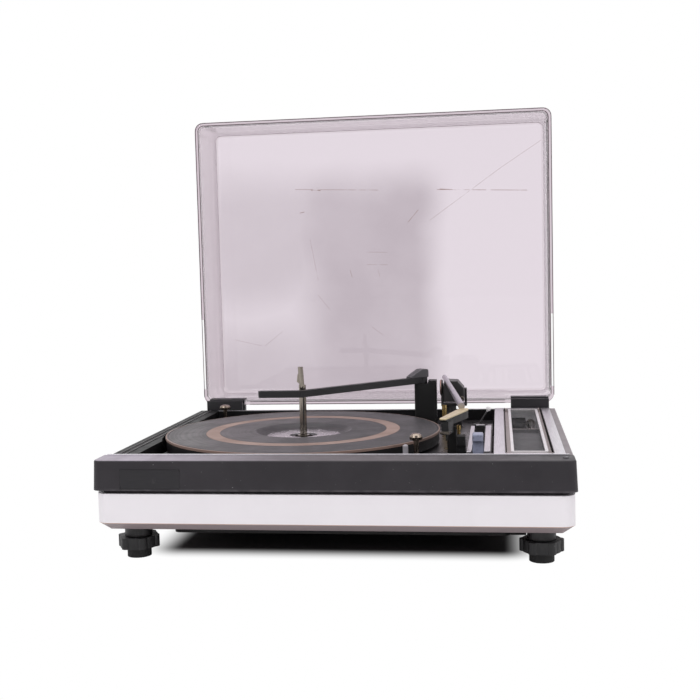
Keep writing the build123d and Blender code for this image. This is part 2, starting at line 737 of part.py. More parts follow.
# Controls
lever_pivot_z = plate_top + 3
knob_x = 107.6
function_x = 122.4
levers_from_front = 82.0
controls_left = 99.0
controls_right = bay_right - 2
controls_front = 60.0
controls_rear = 245.0
controls_lip = 5.0
with BuildPart() as control_plate:
    slab(controls_left, controls_right, controls_front, controls_rear, plate_top, plate_top + 1.2)
    slab(controls_right - controls_lip, controls_right, controls_front, controls_rear,
         plate_top, plate_top + 8)
    for x, half in ((knob_x, 4.6), (function_x, 5.3)):
        slab(x - half, x + half, levers_from_front - 16, levers_from_front + 16, plate_top,
             plate_top + 2, Mode.SUBTRACT)
    slab(rest_x - rest_foot - 1, rest_x + rest_foot + seat_fit, rest_front - 3 - seat_fit,
         rest_front + 6 + seat_fit, plate_top, plate_top + 2, Mode.SUBTRACT)
save(control_plate, "control_plate")


def paddle(x, width, thickness, top):
    slab(x - width / 2, x + width / 2, levers_from_front - thickness / 2, levers_from_front + thickness / 2,
         lever_pivot_z, top)
    bar_x(x - width / 2, x + width / 2, back(levers_from_front), lever_pivot_z, 2.6)


with BuildPart() as speed_knob:
    paddle(knob_x, 8.3, 5.0, 94.0)
    slab(knob_x - 4.15, knob_x + 4.15, levers_from_front - 6, levers_from_front + 6, 90, 98, corner=1.5)
    for step in range(5):
        place = levers_from_front - 5 + step * 2.5
        slab(knob_x - 5, knob_x + 5, place - 0.4, place + 0.4, 97.4, 98.5, Mode.SUBTRACT)
save(speed_knob, "speed_knob")

with BuildPart() as function_lever:
    paddle(function_x, 9.6, 4.0, 96.0)
    slab(function_x - 4.8, function_x + 4.8, levers_from_front - 7, levers_from_front + 7,
         94, 100, corner=2.0)
    fillet(function_lever.edges().group_by(Axis.Z)[-1], 1.5)
save(function_lever, "function_lever")

cue_x = 119.0
cue_from_front = 264.0
cue_ball = (130.0, 270.0, 96.0)
cue_wire_radius = 0.9
with BuildPart() as cue_lever:
    bar_x(cue_x - 4, cue_x + 4, back(cue_from_front), plate_top + 3.4, 2.6)
    cue_start = Vector(cue_x, back(cue_from_front), plate_top + 3.4)
    cue_end = Vector(cue_ball[0], back(cue_ball[1]), cue_ball[2])
    with BuildSketch(Plane(origin=cue_start, z_dir=(cue_end - cue_start).normalized())):
        Circle(cue_wire_radius)
    extrude(amount=(cue_end - cue_start).length)
    with Locations(cue_end):
        Sphere(2.6)
save(cue_lever, "cue_lever")

lift_x = 84.5
lift_from_front = 252.0
lift_top = 103.0
with BuildPart() as lift_pillar:
    drum(lift_x, back(lift_from_front), 2.6, plate_top, lift_top)
    drum(lift_x, back(lift_from_front), 3.6, 84, 86)
save(lift_pillar, "lift_pillar")

# Accessory tray with the short spindle and its box, under a hinged window
lid_low = deck_height - 1.2
lid_high = lid_low + tray_lid_height
tray_axis_y = back(tray_lid_back - tray_lid_height / 2)
tray_axis_z = (lid_low + lid_high) / 2
with BuildPart() as accessory_tray:
    slab(pocket_left + seat_fit, pocket_right - seat_fit, pocket_front + seat_fit, pocket_back - seat_fit,
         tray_floor_height, deck_height - 1.4, corner=2.0)
    slab(tray_lid_left + tray_wall, tray_lid_right - tray_wall, tray_split, tray_lid_back - tray_wall,
         tray_floor_height + tray_wall, deck_height, Mode.SUBTRACT, 2.0)
    slab(tray_lid_left + tray_wall, tray_lid_right - tray_wall, tray_lid_front + tray_wall,
         tray_split - tray_wall, tray_panel_height, deck_height, Mode.SUBTRACT, 2.0)
    for left in (tray_lid_left - tray_ear_gap - tray_ear, tray_lid_right + tray_ear_gap):
        slab(left, left + tray_ear, tray_lid_back - 5, tray_lid_back + 1.5,
             tray_panel_height, deck_height + 2)
        bar_x(left, left + tray_ear, tray_axis_y, tray_axis_z, tray_pin_radius + running_fit, Mode.SUBTRACT)
save(accessory_tray, "accessory_tray")

compartment_floor = tray_floor_height + tray_wall
with BuildPart() as accessory_box:
    slab(tray_lid_left + 3.4, tray_lid_left + 18, tray_lid_back - 64, tray_lid_back - 28,
         compartment_floor, compartment_floor + 10, corner=1.0)
save(accessory_box, "accessory_box")

with BuildPart() as single_play_spindle:
    short_spindle_x = tray_lid_right - 8.2
    short_spindle_front = tray_lid_back - 116
    with BuildSketch(Plane(origin=(short_spindle_x, back(short_spindle_front), compartment_floor + 5),
                           x_dir=(1, 0, 0), z_dir=(0, 1, 0))):
        Circle(3.5)
    extrude(amount=80)
    with BuildSketch(Plane(origin=(short_spindle_x, back(short_spindle_front + 76), compartment_floor + 5),
                           x_dir=(1, 0, 0), z_dir=(0, 1, 0))):
        Circle(5.0)
    extrude(amount=6)
    fillet(single_play_spindle.edges().sort_by(Axis.Y)[-1], 2.0)
save(single_play_spindle, "single_play_spindle")

pin_reach = tray_ear_gap + tray_ear - 0.4
with BuildPart() as tray_lid_frame:
    slab(tray_lid_left, tray_lid_right, tray_lid_front, tray_lid_back, lid_low, lid_high, corner=2.0)
    slab(tray_lid_left + tray_lid_bar, tray_lid_right - tray_lid_bar, tray_lid_front + tray_lid_bar,
         tray_lid_back - tray_lid_bar, lid_low, lid_high, Mode.SUBTRACT)
    slab(tray_lid_left - 1, tray_lid_right + 1, tray_lid_back - tray_lid_height / 2, tray_lid_back + 1,
         lid_low, lid_high, Mode.SUBTRACT)
    bar_x(tray_lid_left, tray_lid_right, tray_axis_y, tray_axis_z, tray_lid_height / 2)
    bar_x(tray_lid_left - pin_reach, tray_lid_right + pin_reach, tray_axis_y, tray_axis_z, tray_pin_radius)
save(tray_lid_frame, "tray_lid_frame")

with BuildPart() as tray_lid_window:
    slab(tray_lid_left + tray_lid_bar + part_gap, tray_lid_right - tray_lid_bar - part_gap,
         tray_lid_front + tray_lid_bar + part_gap, tray_lid_back - tray_lid_bar - part_gap,
         lid_low + 0.4, lid_high - 0.4)
save(tray_lid_window, "tray_lid_window")

# Hinges: bracket with ears and a fixed pin, and the leaf that grips the dust cover
hinge_half = hinge_width / 2
leaf_low = hinge_z + hinge_ear_radius + 0.35
leaf_high = leaf_low + leaf_thickness
leaf_front = cover_rim_from_front - 0.6
leaf_rear = leaf_front + 13.6
bracket_front = deck_back + 3
bracket_wall = 3.0


def hinge_base(x):
    with BuildPart() as bracket:
        slab(x - hinge_half, x + hinge_half, bracket_front, plinth_depth, ledge_height, ledge_height + 4)
        slab(x - hinge_half, x + hinge_half, bracket_front, bracket_front + bracket_wall,
             ledge_height, leaf_high - 0.6)
        for side in (-1, 1):
            left = x + side * (hinge_half - hinge_ear / 2) - hinge_ear / 2
            slab(left, left + hinge_ear, hinge_from_front - hinge_ear_radius,
                 hinge_from_front + hinge_ear_radius, ledge_height, hinge_z)
            bar_x(left, left + hinge_ear, hinge_y, hinge_z, hinge_ear_radius)
        bar_x(x - hinge_half, x + hinge_half, hinge_y, hinge_z, hinge_pin_radius)
    return bracket


def hinge_leaf(x):
    knuckle = hinge_half - hinge_ear - 0.3
    with BuildPart() as leaf:
        bar_x(x - knuckle, x + knuckle, hinge_y, hinge_z, hinge_knuckle_radius)
        slab(x - knuckle, x + knuckle, hinge_from_front - 2.5, hinge_from_front + 2.5, hinge_z, leaf_low)
        slab(x - hinge_half, x + hinge_half, leaf_front, leaf_rear, leaf_low, leaf_high)
        bar_x(x - knuckle, x + knuckle, hinge_y, hinge_z, hinge_pin_radius + running_fit, Mode.SUBTRACT)
    return leaf


for side_name, side_sign in (("left", -1), ("right", 1)):
    save(hinge_base(side_sign * hinge_x), f"hinge_base_{side_name}")
    save(hinge_leaf(side_sign * hinge_x), f"hinge_leaf_{side_name}")


def cover_plane(distance):
    """Upright plane facing back, at a depth behind the rim of the open cover."""
    return Plane(origin=(0, cover_rim_y + distance, cover_mid_z), x_dir=(1, 0, 0), z_dir=(0, 1, 0))


# Dust cover: drafted walls, soft panel edge, outer lip relieved near the hinges
shell_wide = cover_width - 2 * cover_lip
shell_tall = cover_height - 2 * cover_lip
with BuildPart() as cover_core:
    with BuildSketch(cover_plane(0)):
        RectangleRounded(shell_wide - 2 * cover_wall, shell_tall - 2 * cover_wall, cover_corner - cover_wall)
    with BuildSketch(cover_plane(cover_depth - cover_wall)):
        RectangleRounded(shell_wide - 2 * cover_wall - 2 * cover_draft,
                         shell_tall - 2 * cover_wall - 2 * cover_draft, cover_corner - cover_wall)
    loft(ruled=True)
    fillet(cover_core.faces().sort_by(Axis.Y)[-1].edges(), cover_round - cover_wall)

with BuildPart() as dust_cover:
    with BuildSketch(cover_plane(0)):
        RectangleRounded(shell_wide, shell_tall, cover_corner)
    with BuildSketch(cover_plane(cover_depth)):
        RectangleRounded(shell_wide - 2 * cover_draft, shell_tall - 2 * cover_draft, cover_corner)
    loft(ruled=True)
    fillet(dust_cover.faces().sort_by(Axis.Y)[-1].edges(), cover_round)
    with BuildSketch(cover_plane(0)):
        RectangleRounded(cover_width, cover_height, cover_corner + cover_lip)
    extrude(amount=cover_lip_depth)
    add(cover_core.part, mode=Mode.SUBTRACT)
    for side_sign in (-1, 1):
        slab(side_sign * hinge_x - hinge_half - part_gap, side_sign * hinge_x + hinge_half + part_gap,
             cover_rim_from_front - 1, leaf_rear + part_gap, cover_foot_height - 1, leaf_high + part_gap,
             Mode.SUBTRACT)
        notch_inner = shell_wide / 2
        notch_outer = cover_width / 2 + 1
        slab(min(side_sign * notch_inner, side_sign * notch_outer),
             max(side_sign * notch_inner, side_sign * notch_outer),
             cover_rim_from_front - 1, cover_rim_from_front + cover_lip_depth + 1,
             notch_low, notch_high, Mode.SUBTRACT)
save(dust_cover, "dust_cover")

# Levelling feet: lobed hand wheel with its stud, and a soft cup below
for foot_name, (foot_place_x, foot_place_front) in foot_places.items():
    foot_y = back(foot_place_front)
    with BuildPart() as foot_wheel:
        drum(foot_place_x, foot_y, foot_radius - foot_lobe_radius / 2, foot_wheel_bottom, foot_wheel_top)
        with BuildSketch(Plane.XY.offset(foot_wheel_bottom)):
            with Locations((foot_place_x, foot_y)):
                with PolarLocations(foot_radius - foot_lobe_radius, foot_lobes):
                    Circle(foot_lobe_radius)
        extrude(amount=foot_wheel_top - foot_wheel_bottom)
        drum(foot_place_x, foot_y, foot_stud_radius, foot_wheel_top, floor_top + 4)
        drum(foot_place_x, foot_y, foot_cup_radius, foot_wheel_bottom, foot_cup_top, Mode.SUBTRACT)
    save(foot_wheel, f"foot_wheel_{foot_name}")
    with BuildPart() as foot_cup:
        drum(foot_place_x, foot_y, foot_cup_radius, 0, foot_cup_top)
        drum(foot_place_x, foot_y, foot_cup_radius - 3, 0, 1.2, Mode.SUBTRACT)
    save(foot_cup, f"foot_cup_{foot_name}")

# Rear connections: socket panel and the gland where the mains lead comes out
with BuildPart() as socket_panel:
    slab(socket_left, socket_right, plinth_depth - lower_inset - socket_thickness + part_gap,
         plinth_depth - lower_inset, socket_low, socket_high)
    for socket_x in (-40.0, -20.0, 20.0, 40.0):
        with BuildSketch(Plane(origin=(socket_x, back(plinth_depth - lower_inset), 48),
                               x_dir=(1, 0, 0), z_dir=(0, 1, 0))):
            Circle(4.0)
        extrude(amount=6)
save(socket_panel, "socket_panel")

with BuildPart() as mains_gland:
    with BuildSketch(Plane(origin=(gland_x, back(plinth_depth - 12), gland_z),
                           x_dir=(1, 0, 0), z_dir=(0, 1, 0))):
        Circle(gland_radius)
    extrude(amount=18)
    with BuildSketch(Plane(origin=(gland_x, back(plinth_depth - lower_inset), gland_z),
                           x_dir=(1, 0, 0), z_dir=(0, 1, 0))):
        Circle(gland_radius + 2)
    extrude(amount=2.5)
save(mains_gland, "mains_gland")
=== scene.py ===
import json
import math

import bmesh
import bpy
from mathutils import Matrix, Vector


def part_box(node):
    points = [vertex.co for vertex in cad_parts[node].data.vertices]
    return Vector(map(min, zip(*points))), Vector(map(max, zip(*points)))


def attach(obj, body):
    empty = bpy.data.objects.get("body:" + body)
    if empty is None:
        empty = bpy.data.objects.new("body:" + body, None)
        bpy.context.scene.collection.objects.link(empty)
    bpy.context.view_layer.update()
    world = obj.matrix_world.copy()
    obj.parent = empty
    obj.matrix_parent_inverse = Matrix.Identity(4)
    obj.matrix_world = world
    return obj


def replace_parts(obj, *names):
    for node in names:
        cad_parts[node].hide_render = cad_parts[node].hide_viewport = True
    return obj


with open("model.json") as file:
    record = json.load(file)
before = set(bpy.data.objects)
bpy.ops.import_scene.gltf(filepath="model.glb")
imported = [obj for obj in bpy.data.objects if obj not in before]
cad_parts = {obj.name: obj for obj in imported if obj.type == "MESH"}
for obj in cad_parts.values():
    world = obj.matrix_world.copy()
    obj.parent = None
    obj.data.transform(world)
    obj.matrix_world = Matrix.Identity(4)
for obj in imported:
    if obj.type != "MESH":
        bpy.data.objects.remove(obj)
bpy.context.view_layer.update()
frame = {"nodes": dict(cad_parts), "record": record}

# Record changer with its cover open. Everything is in metres, in the frame of the CAD model.
# "front" is a distance back from the front face of the upper band, in millimetres.

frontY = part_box("top_frame")[0].y
nodes = frame["nodes"]
slotOf = {part["node"]: part["material_slot"] for part in frame["record"]["subparts"]}
print("frame loaded:", len(nodes), "nodes")


def at(x, front, z):
    return Vector((x / 1000, frontY + front / 1000, z / 1000))


def tone(red, green, blue):
    # colour as read off a screen, 0 to 255, to the linear value a node wants
    return tuple(((c / 255 + 0.055) / 1.055) ** 2.4 if c > 10 else c / 255 / 12.92
                 for c in (red, green, blue)) + (1.0,)


# the photograph's camera: turns in radians, its place and lens in millimetres, its range in metres,
# and the width of the square picture in pixels
cameraLook = {"yaw": 0.1413, "pitch": 0.0764, "roll": -0.0253, "x": 141.93, "front": -841.52, "z": 246.55,
              "lens": 54.0, "sensor": 36.0, "near": 0.01, "far": 50.0, "picture": 700}


def cameraFrame():
    # the camera's place, and its right, upward and ahead directions
    yaw, pitch, roll = cameraLook["yaw"], cameraLook["pitch"], cameraLook["roll"]
    ahead = Vector((-math.sin(yaw) * math.cos(pitch), math.cos(yaw) * math.cos(pitch), -math.sin(pitch)))
    level = Vector((math.cos(yaw), math.sin(yaw), 0))
    over = level.cross(ahead)
    right = level * math.cos(roll) + over * math.sin(roll)
    upward = over * math.cos(roll) - level * math.sin(roll)
    return at(cameraLook["x"], cameraLook["front"], cameraLook["z"]), right, upward, ahead


def seenAt(across, down, front):
    # the point of an upright plane, this far back, that shows at this pixel of the photograph
    spot, right, upward, ahead = cameraFrame()
    middle = cameraLook["picture"] / 2
    focal = cameraLook["picture"] * cameraLook["lens"] / cameraLook["sensor"]
    ray = ahead * focal + right * (across - middle) - upward * (down - middle)
    return spot + ray * ((at(0, front, 0).y - spot.y) / ray.y)


class Finish:
    # one material: its shader, its object coordinates and short ways to add nodes
    def __init__(self, name, **values):
        self.material = bpy.data.materials.new(name)
        self.material.use_nodes = True
        self.tree = self.material.node_tree
        self.shader = self.tree.nodes["Principled BSDF"]
        self.place = self.add("ShaderNodeTexCoord").outputs["Object"]
        for socket, value in values.items():
            self.shader.inputs[socket.replace("_", " ")].default_value = value

    def add(self, kind, settings=None, **sockets):
        made = self.tree.nodes.new(kind)
        for key, value in (settings or {}).items():
            setattr(made, key, value)
        for key, value in sockets.items():
            self.feed(made.inputs[key.replace("_", " ")], value)
        return made

    def feed(self, socket, value):
        if isinstance(value, bpy.types.NodeSocket):
            self.tree.links.new(value, socket)
        else:
            socket.default_value = value

    def calc(self, operation, a, b=0.0, clamp=False):
        made = self.tree.nodes.new("ShaderNodeMath")
        made.operation = operation
        made.use_clamp = clamp
        self.feed(made.inputs[0], a)
        self.feed(made.inputs[1], b)
        return made.outputs[0]

    def vector(self, operation, a, b=(0, 0, 0), output=0):
        made = self.tree.nodes.new("ShaderNodeVectorMath")
        made.operation = operation
        self.feed(made.inputs[0], a)
        self.feed(made.inputs[1], b)
        return made.outputs[output]

    def stretched(self, stretch):
        return self.vector("MULTIPLY", self.place, stretch)

    def noise(self, scale, detail=3.0, rough=0.55, stretch=None, bend=0.0):
        source = self.stretched(stretch) if stretch else self.place
        return self.add("ShaderNodeTexNoise", Vector=source, Scale=scale, Detail=detail,
                        Roughness=rough, Distortion=bend).outputs[0]

    def span(self, value, low, high, toLow=0.0, toHigh=1.0):
        made = self.add("ShaderNodeMapRange", {"interpolation_type": "SMOOTHSTEP"}, Value=value)
        for socket, number in (("From Min", low), ("From Max", high), ("To Min", toLow), ("To Max", toHigh)):
            self.feed(made.inputs[socket], number)
        return made.outputs[0]

    def mix(self, factor, a, b):
        made = self.add("ShaderNodeMix", {"data_type": "RGBA"})
        self.feed(made.inputs[0], factor)
        self.feed(made.inputs[6], a)
        self.feed(made.inputs[7], b)
        return made.outputs[2]

    def axis(self, name):
        return self.add("ShaderNodeSeparateXYZ", Vector=self.place).outputs[name]

    def radius(self, centre):
        flat = self.vector("MULTIPLY", self.vector("SUBTRACT", self.place, centre), (1, 1, 0))
        return self.vector("LENGTH", flat, output="Value")

    def ringNoise(self, away, scale, detail=2.0):
        turned = self.calc("MULTIPLY", away, scale)
        return self.add("ShaderNodeTexNoise", {"noise_dimensions": "1D"}, W=turned, Scale=1.0,
                        Detail=detail).outputs[0]

    def colour(self, value):
        self.feed(self.shader.inputs["Base Color"], value)

    def rough(self, value):
        self.feed(self.shader.inputs["Roughness"], value)

    def bump(self, height, distance, strength=1.0):
        made = self.add("ShaderNodeBump", Height=height, Distance=distance, Strength=strength)
        already = self.shader.inputs["Normal"].links
        if already:
            self.feed(made.inputs["Normal"], already[0].from_socket)
        self.feed(self.shader.inputs["Normal"], made.outputs[0])


def mouldedPlastic(name, colour, rough=0.45, grain=900.0, grainDepth=0.00002, cloud=0.08, dust=0.0,
                   level=0.5):
    # fine moulded grain, faint clouds of wear and a little dust in the hollows of the noise
    f = Finish(name, Specular_IOR_Level=level)
    clouds = f.span(f.noise(28.0, 4), 0.3, 0.7)
    darker = tuple(c * (1 - cloud) for c in colour[:3]) + (1.0,)
    lighter = tuple(min(1.0, c * (1 + cloud)) for c in colour[:3]) + (1.0,)
    shade = f.mix(clouds, darker, lighter)
    if dust:
        specks = f.span(f.noise(700.0, 2), 0.73, 0.78)
        shade = f.mix(f.calc("MULTIPLY", specks, dust), shade, tone(190, 186, 190))
    f.colour(shade)
    f.rough(f.span(f.noise(60.0, 4), 0.25, 0.75, rough - 0.06, rough + 0.08))
    f.bump(f.noise(grain, 2), grainDepth, 0.6)
    return f


def shellPaint(name):
    # silver-white satin band, its downward-facing chamfer painted grey as its shade, black bosses, with light
    # handling marks
    look = {"bossTop": (0.0288, 0.0291), "seam": (0.0355, 0.0359), "chamferTop": (0.0361, 0.0365)}
    f = mouldedPlastic(name, tone(246, 241, 246), 0.4, 1400.0, 0.000008, 0.012)
    body = f.shader.inputs["Base Color"].links[0].from_socket
    streaks = f.span(f.noise(30.0, 5, 0.7, (1, 1, 0.12)), 0.62, 0.8, 0.0, 0.06)
    body = f.mix(streaks, body, tone(196, 190, 196))
    marks = f.span(f.noise(260.0, 3, 0.6, (0.25, 1, 1.6)), 0.74, 0.8, 0.0, 0.35)
    body = f.mix(marks, body, tone(172, 160, 160))
    height = f.axis("Z")
    # painted shade: the chamfer below chamferTop is coloured grey because it faces down, away from the lamps;
    # below bossTop the bosses are black
    low = f.mix(f.span(height, *look["bossTop"]), tone(34, 32, 34), tone(158, 144, 147))
    low = f.mix(f.span(height, *look["seam"]), low, tone(196, 160, 142))
    f.colour(f.mix(f.span(height, *look["chamferTop"]), low, body))
    return f


def bandPlastic(name):
    # charcoal band: soft mottling, a few pale nicks, and a painted highlight on the rail top, bright at the
    # left and fading to the right
    look = {"lowEdge": (0.0668, 0.0650), "railTop": (0.0896, 0.0903), "railBack": (0.0278, 0.0282),
            "leftSheen": (-0.21, 0.01), "rightSheen": (0.0, 0.15), "rightDeck": (0.186, 0.1885)}
    f = mouldedPlastic(name, tone(54, 51, 55), 0.5, 1100.0, 0.000015, 0.10, 0.5, 0.22)
    shade = f.shader.inputs["Base Color"].links[0].from_socket
    smears = f.span(f.noise(14.0, 4, 0.6, (1, 1, 2)), 0.55, 0.75, 0.0, 0.35)
    shade = f.mix(smears, shade, tone(42, 40, 44))
    across, depth, height = f.add("ShaderNodeSeparateXYZ", Vector=f.place).outputs
    grime = f.span(f.noise(90.0, 3), 0.35, 0.65, 0.1, 0.7)
    low = f.calc("MULTIPLY", f.span(height, *look["lowEdge"]), grime)
    shade = f.mix(low, shade, tone(92, 88, 92))
    behind = f.span(depth, *(frontY + back for back in look["railBack"]))
    railTop = f.calc("MULTIPLY", f.span(height, *look["railTop"]), f.calc("SUBTRACT", 1.0, behind))
    # painted highlight: the rail top is coloured pale at the left and darker to the right, standing in for
    # light reflected from the left; wear patches are mixed into it
    railSheen = f.mix(f.span(across, *look["leftSheen"]), tone(184, 175, 188), tone(106, 100, 104))
    railSheen = f.mix(f.span(across, *look["rightSheen"]), railSheen, tone(72, 70, 73))
    wear = f.span(f.noise(40.0, 4, 0.6, (1, 0.2, 1)), 0.35, 0.7, 0.0, 0.35)
    worn = f.mix(wear, railSheen, tone(104, 98, 102))
    shade = f.mix(railTop, shade, worn)
    deck = f.mix(f.span(across, *look["rightDeck"]), tone(20, 19, 21), tone(140, 132, 136))
    f.colour(f.mix(behind, shade, deck))
    return f


def brushedAluminium(name, colour, along=(1, 0.02, 1), rough=0.34, metal=1.0):
    f = Finish(name, Metallic=metal)
    lines = f.noise(2600.0, 3, 0.6, along)
    broad = f.noise(40.0, 3, 0.5, along)
    pale = tuple(min(1.0, c * 1.07) for c in colour[:3]) + (1.0,)
    dull = tuple(c * 0.86 for c in colour[:3]) + (1.0,)
    shade = f.mix(f.span(lines, 0.3, 0.7), dull, pale)
    stains = f.span(f.noise(55.0, 4, 0.6), 0.62, 0.8, 0.0, 0.3)
    f.colour(f.mix(stains, shade, tone(150, 142, 146)))
    f.rough(f.span(broad, 0.3, 0.7, rough - 0.05, rough + 0.09))
    f.bump(lines, 0.000012, 0.5)
    return f


def platedMetal(name, colour, rough=0.16, pits=0.25):
    # nickel or chrome: nearly smooth, clouded, with small dull pits
    f = Finish(name, Metallic=1.0)
    haze = f.span(f.noise(120.0, 4, 0.6), 0.4, 0.75)
    dull = tuple(c * 0.78 for c in colour[:3]) + (1.0,)
    shade = f.mix(f.calc("MULTIPLY", haze, 0.6), colour, dull)
    spots = f.span(f.noise(900.0, 2), 0.68, 0.76, 0.0, pits)
    f.colour(f.mix(spots, shade, tone(92, 82, 70)))
    f.rough(f.span(haze, 0.0, 1.0, rough, rough + 0.14))
    f.bump(f.noise(500.0, 2), 0.00001, 0.4)
    return f


def turnedMetal(name, colour, centre, rough=0.3):
    # metal turned on a lathe: fine rings round the centre
    f = Finish(name, Metallic=1.0)
    rings = f.ringNoise(f.radius(centre), 2200.0)
    dull = tuple(c * 0.8 for c in colour[:3]) + (1.0,)
    f.colour(f.mix(f.span(rings, 0.3, 0.7), dull, colour))
    f.rough(f.span(f.noise(80.0, 3), 0.3, 0.7, rough - 0.05, rough + 0.1))
    f.bump(rings, 0.00001, 0.6)
    return f


def paintedSteel(name, colour, rough=0.4, chips=0.0):
    f = mouldedPlastic(name, colour, rough, 420.0, 0.00003, 0.14, 0.35)
    if chips:
        shade = f.shader.inputs["Base Color"].links[0].from_socket
        worn = f.span(f.noise(190.0, 4, 0.7), 0.72, 0.76, 0.0, chips)
        f.colour(f.mix(worn, shade, tone(150, 146, 146)))
    return f


platterLow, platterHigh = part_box("platter_mat")
platterCentre = tuple((platterLow + platterHigh) / 2)
platterRadius = (platterHigh.x - platterLow.x) / 2


def matRubber(name):
    # ribbed mat: fine rings, a bloom of dust, a painted sheen that makes it paler toward the left, and a
    # painted highlight along its edge
    look = {"ribPitch": 0.0016, "sheenFrom": 0.03, "sheenTo": -0.19, "rimLightFrom": 0.0016, "rimLightTo": 0.0004}
    f = Finish(name, Specular_IOR_Level=0.4, Sheen_Weight=0.08, Sheen_Roughness=0.5)
    away = f.radius(platterCentre)
    rings = f.calc("SINE", f.calc("MULTIPLY", away, 2 * math.pi / look["ribPitch"]))
    coarse = f.ringNoise(away, 300.0, 3.0)
    bloom = f.span(f.noise(24.0, 4, 0.6), 0.3, 0.72)
    # painted sheen: the mat is coloured paler toward the left, standing in for light glancing off it
    pale = f.span(f.axis("X"), look["sheenFrom"], look["sheenTo"])
    shade = f.mix(pale, tone(56, 52, 57), tone(94, 86, 90))
    shade = f.mix(f.calc("MULTIPLY", bloom, 0.35), shade, tone(82, 77, 81))
    shade = f.mix(f.span(rings, -1.0, 1.0, 0.0, 0.3), shade, tone(42, 40, 43))
    shade = f.mix(f.span(coarse, 0.42, 0.6, 0.0, 0.5), shade, tone(44, 41, 45))
    specks = f.span(f.noise(520.0, 2), 0.72, 0.77, 0.0, 0.4)
    shade = f.mix(specks, shade, tone(168, 160, 162))
    # painted highlight: a pale tan line along the mat's outer edge
    edge = f.span(away, platterRadius - look["rimLightFrom"], platterRadius - look["rimLightTo"], 0.0, 0.85)
    f.colour(f.mix(edge, shade, tone(160, 132, 122)))
    f.rough(f.span(bloom, 0.0, 1.0, 0.42, 0.56))
    f.bump(rings, 0.00004, 0.5)
    return f


def platterCasting(name):
    # grey dish like the mat, near-black skirt with turned lines; distances from the centre
    look = {"dishWall": (0.0425, 0.0455), "dishEdge": (0.0478, 0.0484)}
    f = Finish(name, Specular_IOR_Level=0.4)
    away = f.radius(platterCentre)
    rings = f.ringNoise(away, 700.0)
    dish = f.mix(f.span(rings, 0.3, 0.7), tone(56, 53, 56), tone(73, 69, 73))
    # painted light: the dish's sloping wall is coloured lighter, as light falling on the slope
    wall = f.span(away, *look["dishWall"])
    dish = f.mix(f.calc("MULTIPLY", wall, 0.5), dish, tone(80, 76, 80))
    skirtLines = f.noise(900.0, 2, 0.5, (0.02, 0.02, 1))
    skirt = f.mix(f.span(skirtLines, 0.35, 0.65), tone(22, 21, 23), tone(36, 34, 37))
    f.colour(f.mix(f.span(away, *look["dishEdge"]), dish, skirt))
    f.rough(f.span(f.noise(60.0, 3), 0.3, 0.7, 0.36, 0.5))
    f.bump(rings, 0.00002, 0.4)
    return f


def ringBoard(name):
    # tan card ring, darker along both its edges; distances from the centre
    look = {"innerEdge": (0.0826, 0.0821), "outerEdge": (0.0948, 0.0953)}
    f = Finish(name, Specular_IOR_Level=0.35)
    away = f.radius(platterCentre)
    fade = f.span(f.noise(26.0, 4), 0.3, 0.7)
    shade = f.mix(fade, tone(146, 122, 114), tone(168, 144, 136))
    edges = f.calc("MAXIMUM", f.span(away, *look["innerEdge"]), f.span(away, *look["outerEdge"]))
    shade = f.mix(f.calc("MULTIPLY", edges, 0.5), shade, tone(120, 96, 92))
    f.colour(f.mix(f.span(f.noise(420.0, 2), 0.7, 0.76, 0.0, 0.5), shade, tone(120, 98, 90)))
    f.rough(0.62)
    f.bump(f.noise(1200.0, 2), 0.00002, 0.5)
    return f


# scratches and marks on the cover: the pixels of the photograph where each starts and ends, its width in
# millimetres and its strength; they lie on the cover's upright panel, this many millimetres back
coverPanelFront = 424.0
coverMarks = {
    "topLeftLine": {"start": (295, 189.5), "end": (378, 190), "width": 0.3, "strength": 0.6},
    "topLeftThick": {"start": (311, 190), "end": (320, 190.5), "width": 0.55, "strength": 0.7},
    "topRightLine": {"start": (437, 189.5), "end": (527, 190), "width": 0.32, "strength": 0.7},
    "topRightThick": {"start": (440, 189), "end": (452, 189.5), "width": 0.6, "strength": 0.6},
    "slantUpper": {"start": (541, 140), "end": (500, 168), "width": 0.26, "strength": 0.4},
    "slantLower": {"start": (500, 168), "end": (430, 220), "width": 0.26, "strength": 0.45},
    "slantFoot": {"start": (408, 222), "end": (418, 210), "width": 0.45, "strength": 0.45},
    "leftDash": {"start": (300, 213), "end": (304, 212), "width": 0.5, "strength": 0.5},
    "lowLeftRise": {"start": (265, 346), "end": (282, 332), "width": 0.3, "strength": 0.3},
    "middleLeftFall": {"start": (318, 295), "end": (330, 310), "width": 0.3, "strength": 0.3},
    "lowMiddleFall": {"start": (372, 327), "end": (383, 335), "width": 0.3, "strength": 0.3},
    "leftFall": {"start": (310, 240), "end": (318, 280), "width": 0.4, "strength": 0.22},
    "lowLeftFall": {"start": (235, 340), "end": (262, 346), "width": 0.3, "strength": 0.25},
    "tickLeft": {"start": (350, 270), "end": (352, 277), "width": 0.4, "strength": 0.3},
    "tickRight": {"start": (378, 270), "end": (380, 277), "width": 0.4, "strength": 0.3},
    "dashUpper": {"start": (367, 252), "end": (387.8, 252.3), "width": 0.5, "strength": 0.18},
    "dashLower": {"start": (367.3, 264.5), "end": (388, 264.8), "width": 0.5, "strength": 0.18},
}


